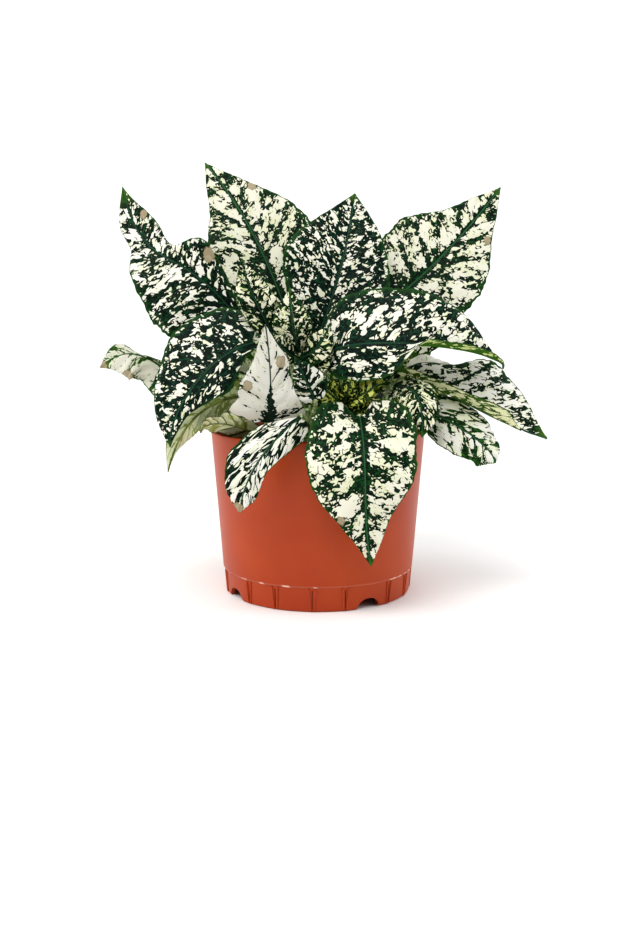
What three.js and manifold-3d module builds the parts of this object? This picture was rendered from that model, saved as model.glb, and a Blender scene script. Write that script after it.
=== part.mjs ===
// Potted polka dot plant: a small plastic nursery pot filled with soil, nine stems that stand in
// plain holes in the soil, and the speckled leaves that grow from them. Millimetres, +Z up, the
// pot's foot on z = 0 round the Z axis. The side that faces -Y is the front.
import * as THREE from 'three';
import { mergeVertices } from 'three/addons/utils/BufferGeometryUtils.js';
import Module from 'manifold-3d';

const wasm = await Module();
wasm.setup();

// Pot
const POT_HEIGHT = 79;
const RIM_RADIUS = 52.5;
const FOOT_RADIUS = 46.5;
const POT_WALL = 1.4;
const BAND_HEIGHT = 11.9; // the slightly sunk band round the foot
const BAND_DEPTH = 0.6;
const FLOOR_UNDER = 5.8; // underside of the pot's floor above the ground
const FLOOR_THICK = 1.4;
const FOOT_WALL = 2.0;
const POT_SIDES = 48;
const RIM_EDGE = 0.5; // bevel of the rim outside, and a smaller one inside
const POT_COLOR = 0xbc4d2c;
const POT_ROUGHNESS = 0.42;
const NOTCH_WIDTH = 11.5; // arched drain notches in the foot
const NOTCH_HEIGHT = 4.8;
const NOTCH_ANGLES = [-149.5, -59.5, 30.5, 120.5]; // degrees round the pot, 0 is the front
const RIB_OFFSETS = [-37, -17, 17, 37]; // ribs beside each notch, in degrees
const RIB_WIDTH = 1.1;
const RIB_LENGTH = 10.6;
const RIB_FOOT = 0.4; // the ribs stop this far above the ground
const RIB_DEPTH = 1.5; // most of it lies in the wall
const RIB_INSET = 0.85; // from the wall's outside in to the middle of a rib
const NOTCH_CUT = 12; // length of the cut through the foot, and where it ends inside
const NOTCH_END = 38;
const DRAIN_RADIUS = 4; // holes in the floor
const DRAIN_RING = 27;
const DRAIN_TURN = 45; // degrees from a notch to the next hole

// Soil
const GAP = 0.3; // clearance between pieces that touch
const SOIL_TOP = 71;
const SOIL_DOME = 2.5;
const SOIL_SHOULDER = 36; // radii where the top flattens
const SOIL_CROWN = 18;
const SOIL_SIDES = 36;
const SOIL_COLOR = 0x35261c;
const SOIL_ROUGHNESS = 0.95;

// Stems
const STEM_FOOT = 46; // height of the buried end
const STEM_SIDES = 6;
const STEM_RINGS = 8;
const STEM_TAPER = 0.32;
const KNUCKLES = 4.5;
const KNUCKLE_SWELL = 0.22;
const STEM_COLOR = 0x9aa878;
const STEM_ROUGHNESS = 0.6;

// Leaves
const BLADE = 0.7; // thickness of a blade
const VEIN = 0.7; // extra thickness under the midrib, at the base of the blade
const PETIOLE = 1.15; // radius of a leaf's stalk
const BLADE_RINGS = 8;
const BACK_RINGS = 7; // the leaves behind have one ring less
const PETIOLE_RINGS = 2;
const BLADE_COLUMNS = 6; // strips across a blade
const YOUNG_RINGS = 3; // the small leaves at a growing tip
const YOUNG_COLUMNS = 4;
const YOUNG_STALK = 0.7;
const YOUNG_ROOT = 1.2; // how deep a young leaf starts in the stem
const BLADE_START = 0.015; // first and last ring of a blade, as shares of its length
const BLADE_END = 0.95;
const BLADE_SPREAD = 1.25; // above 1 the rings crowd towards the base
const EDGE_SPREAD = 0.7; // below 1 the measured half widths lie closer together there
const LEAF_ROUGHNESS = 0.55;

const rad = THREE.MathUtils.degToRad;

// Points are plain arrays of x, y and z.
const add = (a, b, k = 1) => [a[0] + b[0] * k, a[1] + b[1] * k, a[2] + b[2] * k];
const dot = (a, b) => a[0] * b[0] + a[1] * b[1] + a[2] * b[2];
const cross = (a, b) => [
  a[1] * b[2] - a[2] * b[1], a[2] * b[0] - a[0] * b[2], a[0] * b[1] - a[1] * b[0],
];
const unit = (a) => add([0, 0, 0], a, 1 / Math.hypot(...a));
const without = (a, n) => unit(add(a, n, -dot(a, n)));

// The smooth curve through a few evenly spaced points.
function through(points, t) {
  const last = points.length - 1;
  let place = [0, 0, 0];
  points.forEach((point, i) => {
    let weight = 1;
    for (let j = 0; j <= last; j++) if (j !== i) weight *= (t * last - j) / (i - j);
    place = add(place, point, weight);
  });
  return place;
}
const heading = (points, t) => unit(add(through(points, t + 0.01), through(points, t - 0.01), -1));

// A closed body from rings of points: each ring has an upper and a lower row, and the same
// diagonals split both. An end is closed flat, or drawn to one point.
function loftBody(rings, point = null) {
  const wide = rings[0].upper.length;
  const positions = [];
  const index = [];
  for (const ring of rings) positions.push(...ring.upper.flat(), ...ring.lower.flat());
  const upper = (i, j) => i * 2 * wide + j;
  const lower = (i, j) => i * 2 * wide + wide + j;
  for (let i = 0; i + 1 < rings.length; i++) {
    for (let j = 0; j + 1 < wide; j++) {
      index.push(upper(i, j), upper(i, j + 1), upper(i + 1, j + 1));
      index.push(upper(i, j), upper(i + 1, j + 1), upper(i + 1, j));
      index.push(lower(i, j), lower(i + 1, j + 1), lower(i, j + 1));
      index.push(lower(i, j), lower(i + 1, j), lower(i + 1, j + 1));
    }
    const edge = wide - 1;
    index.push(upper(i, 0), upper(i + 1, 0), lower(i + 1, 0), upper(i, 0), lower(i + 1, 0), lower(i, 0));
    index.push(upper(i, edge), lower(i + 1, edge), upper(i + 1, edge));
    index.push(upper(i, edge), lower(i, edge), lower(i + 1, edge));
  }
  for (let j = 0; j + 1 < wide; j++) {
    index.push(upper(0, j), lower(0, j + 1), upper(0, j + 1), upper(0, j), lower(0, j), lower(0, j + 1));
  }
  const end = rings.length - 1;
  if (point) {
    const apex = positions.length / 3;
    positions.push(...point);
    for (let j = 0; j + 1 < wide; j++) {
      index.push(upper(end, j), upper(end, j + 1), apex, lower(end, j + 1), lower(end, j), apex);
    }
    index.push(lower(end, 0), upper(end, 0), apex, upper(end, wide - 1), lower(end, wide - 1), apex);
  } else {
    for (let j = 0; j + 1 < wide; j++) {
      index.push(upper(end, j), upper(end, j + 1), lower(end, j + 1));
      index.push(upper(end, j), lower(end, j + 1), lower(end, j));
    }
  }
  const geometry = new THREE.BufferGeometry();
  geometry.setAttribute('position', new THREE.Float32BufferAttribute(positions, 3));
  geometry.setIndex(index);
  return geometry;
}

// A ring of points round a stalk, in the same two rows.
function stalkRing(centre, side, normal, radius, columns) {
  const ring = { upper: [], lower: [] };
  for (let j = 0; j <= columns; j++) {
    const angle = Math.PI * (j + 0.5) / (columns + 1);
    const across = add(centre, side, -Math.cos(angle) * radius);
    ring.upper.push(add(across, normal, Math.sin(angle) * radius));
    ring.lower.push(add(across, normal, -Math.sin(angle) * radius));
  }
  return ring;
}

// Solids and their joins and cuts
function solid(geometry) {
  const bare = geometry.clone();
  bare.deleteAttribute('normal');
  bare.deleteAttribute('uv');
  const merged = mergeVertices(bare, 1e-4);
  return new wasm.Manifold(new wasm.Mesh({
    numProp: 3,
    vertProperties: new Float32Array(merged.attributes.position.array),
    triVerts: new Uint32Array(merged.index.array),
  }));
}
function geometryOf(body) {
  const mesh = body.getMesh();
  const geometry = new THREE.BufferGeometry();
  geometry.setAttribute('position', new THREE.Float32BufferAttribute(mesh.vertProperties, 3));
  geometry.setIndex([...mesh.triVerts]);
  return geometry;
}

const part = new THREE.Group();
part.name = 'potted_polka_dot_plant';
function place(name, geometry, color, roughness) {
  const flat = geometry.index ? geometry.toNonIndexed() : geometry;
  flat.computeVertexNormals();
  const mesh = new THREE.Mesh(flat, new THREE.MeshStandardMaterial({ color, roughness, metalness: 0 }));
  mesh.name = name;
  part.add(mesh);
}

// Pot: the turned shell, then its ribs, notches and drain holes.
const wallRadius = (z) => FOOT_RADIUS + (RIM_RADIUS - FOOT_RADIUS) * z / POT_HEIGHT;
function potBody() {
  const floorTop = FLOOR_UNDER + FLOOR_THICK;
  const footInner = wallRadius(0) - BAND_DEPTH - FOOT_WALL;
  const profile = [
    [0, FLOOR_UNDER], [footInner, FLOOR_UNDER], [footInner, 0], [wallRadius(0) - BAND_DEPTH, 0],
    [wallRadius(BAND_HEIGHT) - BAND_DEPTH, BAND_HEIGHT - BAND_DEPTH],
    [wallRadius(BAND_HEIGHT), BAND_HEIGHT],
    [RIM_RADIUS, POT_HEIGHT - RIM_EDGE], [RIM_RADIUS - RIM_EDGE, POT_HEIGHT],
    [RIM_RADIUS - POT_WALL + RIM_EDGE * 0.6, POT_HEIGHT],
    [RIM_RADIUS - POT_WALL, POT_HEIGHT - RIM_EDGE * 0.8],
    [wallRadius(floorTop) - POT_WALL - BAND_DEPTH, floorTop], [0, floorTop],
  ];
  const turned = new THREE.LatheGeometry(profile.map(([x, y]) => new THREE.Vector2(x, y)), POT_SIDES);
  turned.rotateX(Math.PI / 2);
  let body = solid(turned);
  for (const notch of NOTCH_ANGLES) {
    for (const offset of RIB_OFFSETS) {
      const rib = new THREE.BoxGeometry(RIB_WIDTH, RIB_DEPTH, RIB_LENGTH);
      const middle = RIB_FOOT + RIB_LENGTH / 2;
      rib.translate(0, RIB_INSET - wallRadius(middle), middle);
      rib.rotateZ(rad(notch + offset));
      body = body.add(solid(rib));
    }
    const arch = new THREE.Shape();
    const half = NOTCH_WIDTH / 2;
    const shoulder = NOTCH_HEIGHT * 0.35;
    arch.moveTo(-half, -1);
    arch.lineTo(half, -1);
    arch.lineTo(half * 0.92, shoulder);
    arch.quadraticCurveTo(half * 0.8, NOTCH_HEIGHT, 0, NOTCH_HEIGHT);
    arch.quadraticCurveTo(-half * 0.8, NOTCH_HEIGHT, -half * 0.92, shoulder);
    const cut = { depth: NOTCH_CUT, bevelEnabled: false, curveSegments: 3 };
    const cutter = new THREE.ExtrudeGeometry(arch, cut);
    cutter.rotateX(Math.PI / 2);
    cutter.translate(0, -NOTCH_END, 0);
    cutter.rotateZ(rad(notch));
    body = body.subtract(solid(cutter));
    const drain = new THREE.CylinderGeometry(DRAIN_RADIUS, DRAIN_RADIUS, FLOOR_THICK * 4, 10);
    drain.rotateX(Math.PI / 2);
    drain.translate(0, -DRAIN_RING, FLOOR_UNDER);
    drain.rotateZ(rad(notch + DRAIN_TURN));
    body = body.subtract(solid(drain));
  }
  return body;
}

// Stems: a curve through three places seen from above, with knuckles where leaves grow. The
// small young leaves at a growing tip are listed with their stem and are one body with it.
const STEMS = {
  middle: {
    way: [[-2, 2], [-4, 3], [-4, 2]], top: 136, thick: 1.9,
    young: [
      { rib: [[-4, 2, 137], [-6, 2, 146], [-9, 3, 155]], face: [0, -0.9, 0.3], wide: [4, 4] },
    ],
  },
  inner: {
    way: [[-5, -10], [-8, -18], [-9, -24]], top: 117, thick: 1.6,
    young: [
      { rib: [[-9, -25, 118], [-12, -31, 131], [-13, -29, 147]], face: [0, -0.95, 0.2], wide: [9, 9] },
      { rib: [[-8, -26, 115], [0, -33, 121], [5, -34, 131]], face: [0.1, -0.9, 0.4], wide: [6, 7] },
      { rib: [[-10, -26, 115], [-17, -33, 120], [-22, -35, 127]], face: [-0.1, -0.9, 0.4], wide: [6, 6] },
      { rib: [[-8, -23, 109], [0, -30, 113], [7, -33, 119]], face: [0, -0.9, 0.4], wide: [6, 6] },
    ],
  },
  left: { way: [[-16, -10], [-22, -14], [-25, -16]], top: 122, thick: 1.8 },
  right: {
    way: [[18, 4], [27, 5], [35, 4]], top: 136, thick: 1.8,
    young: [
      { rib: [[35, 5, 137], [33, 10, 145], [30, 12, 154]], face: [0, -0.8, 0.6], wide: [4, 4] },
      { rib: [[36, 4, 137], [43, 9, 140], [50, 11, 146]], face: [0, -0.7, 0.7], wide: [4, 4] },
    ],
  },
  front: {
    way: [[8, -18], [10, -24], [12, -30]], top: 95, thick: 1.8,
    young: [
      { rib: [[11, -31, 95], [5, -34, 99], [0, -35, 105]], face: [0, -0.8, 0.6], wide: [7, 9] },
      { rib: [[13, -32, 95], [20, -37, 99], [27, -40, 104]], face: [0, -0.8, 0.6], wide: [9, 5] },
      { rib: [[12, -33, 95], [13, -37, 100], [15, -39, 107]], face: [0, -0.9, 0.3], wide: [5, 5] },
      { rib: [[13, -31, 96], [22, -33, 101], [33, -35, 104]], face: [0, -0.9, 0.4], wide: [8, 5.5] },
      { rib: [[11, -30, 89], [4, -31, 92], [-4, -31, 96]], face: [0, -0.9, 0.4], wide: [8, 7] },
      { rib: [[13, -31, 89], [21, -32, 92], [28, -32, 95]], face: [0, -0.9, 0.4], wide: [7, 6] },
    ],
  },
  front_left: { way: [[-8, -24], [-7, -34], [-5, -41]], top: 92, thick: 2.0 },
  front_right: {
    way: [[24, -12], [30, -16], [34, -19]], top: 106, thick: 1.7,
    young: [
      { rib: [[34, -18, 107], [38, -14, 112], [44, -12, 116]], face: [0, -0.8, 0.6], wide: [4, 4] },
      { rib: [[34, -20, 107], [34, -14, 113], [31, -10, 118]], face: [0.2, -0.7, 0.7], wide: [4, 4] },
    ],
  },
  back_left: {
    way: [[-14, 18], [-23, 27], [-30, 34]], top: 122, thick: 1.8,
    young: [
      { rib: [[-30, 33, 123], [-37, 29, 130], [-44, 27, 135]], face: [0, 0.3, 0.95], wide: [5, 5] },
      { rib: [[-29, 33, 123], [-22, 30, 129], [-16, 29, 133]], face: [0, 0.3, 0.95], wide: [5, 5] },
    ],
  },
  back_right: {
    way: [[12, 20], [19, 30], [25, 38]], top: 124, thick: 1.8,
    young: [
      { rib: [[26, 37, 125], [32, 33, 132], [38, 30, 136]], face: [0, 0.3, 0.95], wide: [5, 5] },
    ],
  },
};
function stemPoint(stem, h) {
  const [a, b, c] = stem.way;
  const rise = stem.top - STEM_FOOT;
  return through([[...a, STEM_FOOT], [...a, STEM_FOOT + rise * 0.35],
    [...b, STEM_FOOT + rise * 0.68], [...c, stem.top]], h);
}
const stemAxis = (stem, h) => unit(add(stemPoint(stem, h + 0.01), stemPoint(stem, h - 0.01), -1));
function stemRadius(stem, h) {
  const knuckle = Math.cos(h * Math.PI * 2 * KNUCKLES) ** 4;
  return stem.thick * (1 - STEM_TAPER * h) * (1 + KNUCKLE_SWELL * knuckle);
}
function stemBody(stem, clearance = 0) {
  const rings = [];
  for (let i = 0; i <= STEM_RINGS; i++) {
    const h = i / STEM_RINGS;
    const axis = stemAxis(stem, h);
    const side = without([1, 0, 0], axis);
    const start = add(stemPoint(stem, h), axis, i === 0 ? -clearance : 0);
    rings.push(stalkRing(start, side, cross(side, axis), stemRadius(stem, h) + clearance,
      STEM_SIDES / 2 - 1));
  }
  return solid(loftBody(rings));
}

// Leaves, each from one formula. Two numbers in a pair are for the left and right half, as seen
// on the upper side with the tip up.
//   from   the stem that bears it, and how far up
//   rib    points along the midrib, from the blade's base to its tip
//   face   where the upper side looks
//   wide   half widths at the belly, which lies this far along: belly
//   tail   above 1 draws the tip out thin, below 1 keeps it full
//   edge   in place of wide, belly and tail: measured half widths of the left and of the right half,
//          from the base to the tip
//   fold   degrees by which each half rises off the midrib, and bend: by how many it curves on
//   close  degrees by which a half folds up further, between the two places in shut
//   lobe   how far the base's corners reach back
//   wave   height and count of the ripples along the edges
const pair = (value, half) => (Array.isArray(value) ? value[half] : value);
function edgeWidth(widths, t) {
  const knots = [-widths[0], 0, ...widths, 0, -widths.at(-1)];
  const place = Math.min(Math.max(t, 0), 1) ** EDGE_SPREAD * (widths.length + 1);
  const i = Math.min(Math.floor(place), widths.length);
  const f = place - i;
  const [a, b, c, d] = knots.slice(i, i + 4);
  return b + f * (c - a + f * (2 * a - 5 * b + 4 * c - d + f * (3 * (b - c) + d - a))) / 2;
}
function leafHalf(leaf, t, half) {
  if (leaf.edge) return Math.max(edgeWidth(leaf.edge[half], t), 0);
  const along = Math.PI * t ** (Math.log(0.5) / Math.log(pair(leaf.belly ?? 0.38, half)));
  return leaf.wide[half] * Math.sin(along) ** (0.62 + 0.58 * t * pair(leaf.tail ?? 1, half));
}
function leafPoint(leaf, t, v) {
  const axis = heading(leaf.rib, t);
  const normal = without(leaf.face, axis);
  const side = cross(axis, normal);
  const half = v < 0 ? 0 : 1;
  const reach = Math.abs(v);
  const width = leafHalf(leaf, t, half);
  const closed = leaf.close ? leaf.close[half] * THREE.MathUtils.smoothstep(t, ...leaf.shut) : 0;
  const fold = rad(leaf.fold[half] + closed);
  const bend = rad(leaf.bend?.[half] ?? -20) || 1e-4;
  const out = width * (Math.sin(fold + bend * reach) - Math.sin(fold)) / bend;
  const [height, count] = leaf.wave ?? [1.2, 2.5];
  const phase = Math.PI * 2 * (count * t + half * 0.4);
  const ripple = height * reach ** 2 * Math.sin(Math.PI * t) * Math.sin(phase);
  const up = width * (Math.cos(fold) - Math.cos(fold + bend * reach)) / bend + ripple;
  const back = -pair(leaf.lobe ?? 4, half) * reach ** 2 * (1 - t) ** 3;
  return add(add(add(through(leaf.rib, t), side, Math.sign(v) * out), normal, up), axis, back);
}
function leafNormal(leaf, t, v) {
  const step = 0.02;
  const along = add(leafPoint(leaf, t + step / 2, v), leafPoint(leaf, t - step / 2, v), -1);
  const across = add(leafPoint(leaf, t, v + step), leafPoint(leaf, t, v - step), -1);
  return unit(cross(across, along));
}
function bladeRing(leaf, t, columns) {
  const ring = { upper: [], lower: [] };
  for (let j = 0; j <= columns; j++) {
    const v = j * 2 / columns - 1;
    const middle = leafPoint(leaf, t, v);
    const normal = leafNormal(leaf, t, v);
    const vein = v === 0 ? VEIN * (1 - t) : 0;
    ring.upper.push(add(middle, normal, BLADE / 2));
    ring.lower.push(add(middle, normal, -BLADE / 2 - vein));
  }
  return ring;
}
function leafBody(leaf, rings, columns) {
  const list = [];
  const base = leafPoint(leaf, BLADE_START, 0);
  const axis = heading(leaf.rib, 0);
  if (leaf.from) {
    const [stemName, h] = leaf.from;
    const stem = STEMS[stemName];
    const core = stemPoint(stem, h);
    const outward = without(add(base, core, -1), stemAxis(stem, h));
    const start = add(core, outward, stemRadius(stem, h) + GAP);
    const reach = Math.hypot(...add(base, start, -1)) * 0.4;
    const stalk = [start, add(start, outward, reach), add(base, axis, -reach), base];
    for (let i = 0; i < PETIOLE_RINGS; i++) {
      const t = i / PETIOLE_RINGS;
      const weights = [(1 - t) ** 3, 3 * t * (1 - t) ** 2, 3 * t * t * (1 - t), t ** 3];
      const slopes = [-((1 - t) ** 2), (1 - t) * (1 - 3 * t), t * (2 - 3 * t), t * t];
      const mix = (shares) => shares.reduce((sum, k, n) => add(sum, stalk[n], k), [0, 0, 0]);
      const slope = unit(mix(slopes));
      const normal = without(leaf.face, slope);
      list.push(stalkRing(mix(weights), cross(slope, normal), normal, PETIOLE, columns));
    }
  }
  for (let i = 0; i <= rings; i++) {
    const along = (i / rings) ** BLADE_SPREAD;
    list.push(bladeRing(leaf, BLADE_START + (BLADE_END - BLADE_START) * along, columns));
  }
  return loftBody(list, leafPoint(leaf, 1, 0));
}

// A young leaf starts inside the stem's tip, on a short stalk of its own.
function youngBody(leaf) {
  const shape = { fold: [12, 12], belly: 0.45, wave: [0.3, 2], lobe: 1, ...leaf };
  const axis = heading(shape.rib, 0);
  const normal = without(shape.face, axis);
  const root = add(leafPoint(shape, 0, 0), axis, -YOUNG_ROOT);
  const list = [stalkRing(root, cross(axis, normal), normal, YOUNG_STALK, YOUNG_COLUMNS)];
  for (let i = 0; i <= YOUNG_RINGS; i++) {
    list.push(bladeRing(shape, 0.1 + 0.84 * i / YOUNG_RINGS, YOUNG_COLUMNS));
  }
  return loftBody(list, leafPoint(shape, 1, 0));
}

// Leaf colours, as they look from a few steps away
const DARK = 0x2c4a36;
const SPECKLED = 0x7d9070;
const CREAM = 0xc9cfa8;
const PALE = 0xe2e2cc;
const LIME = 0x98a750;

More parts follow.
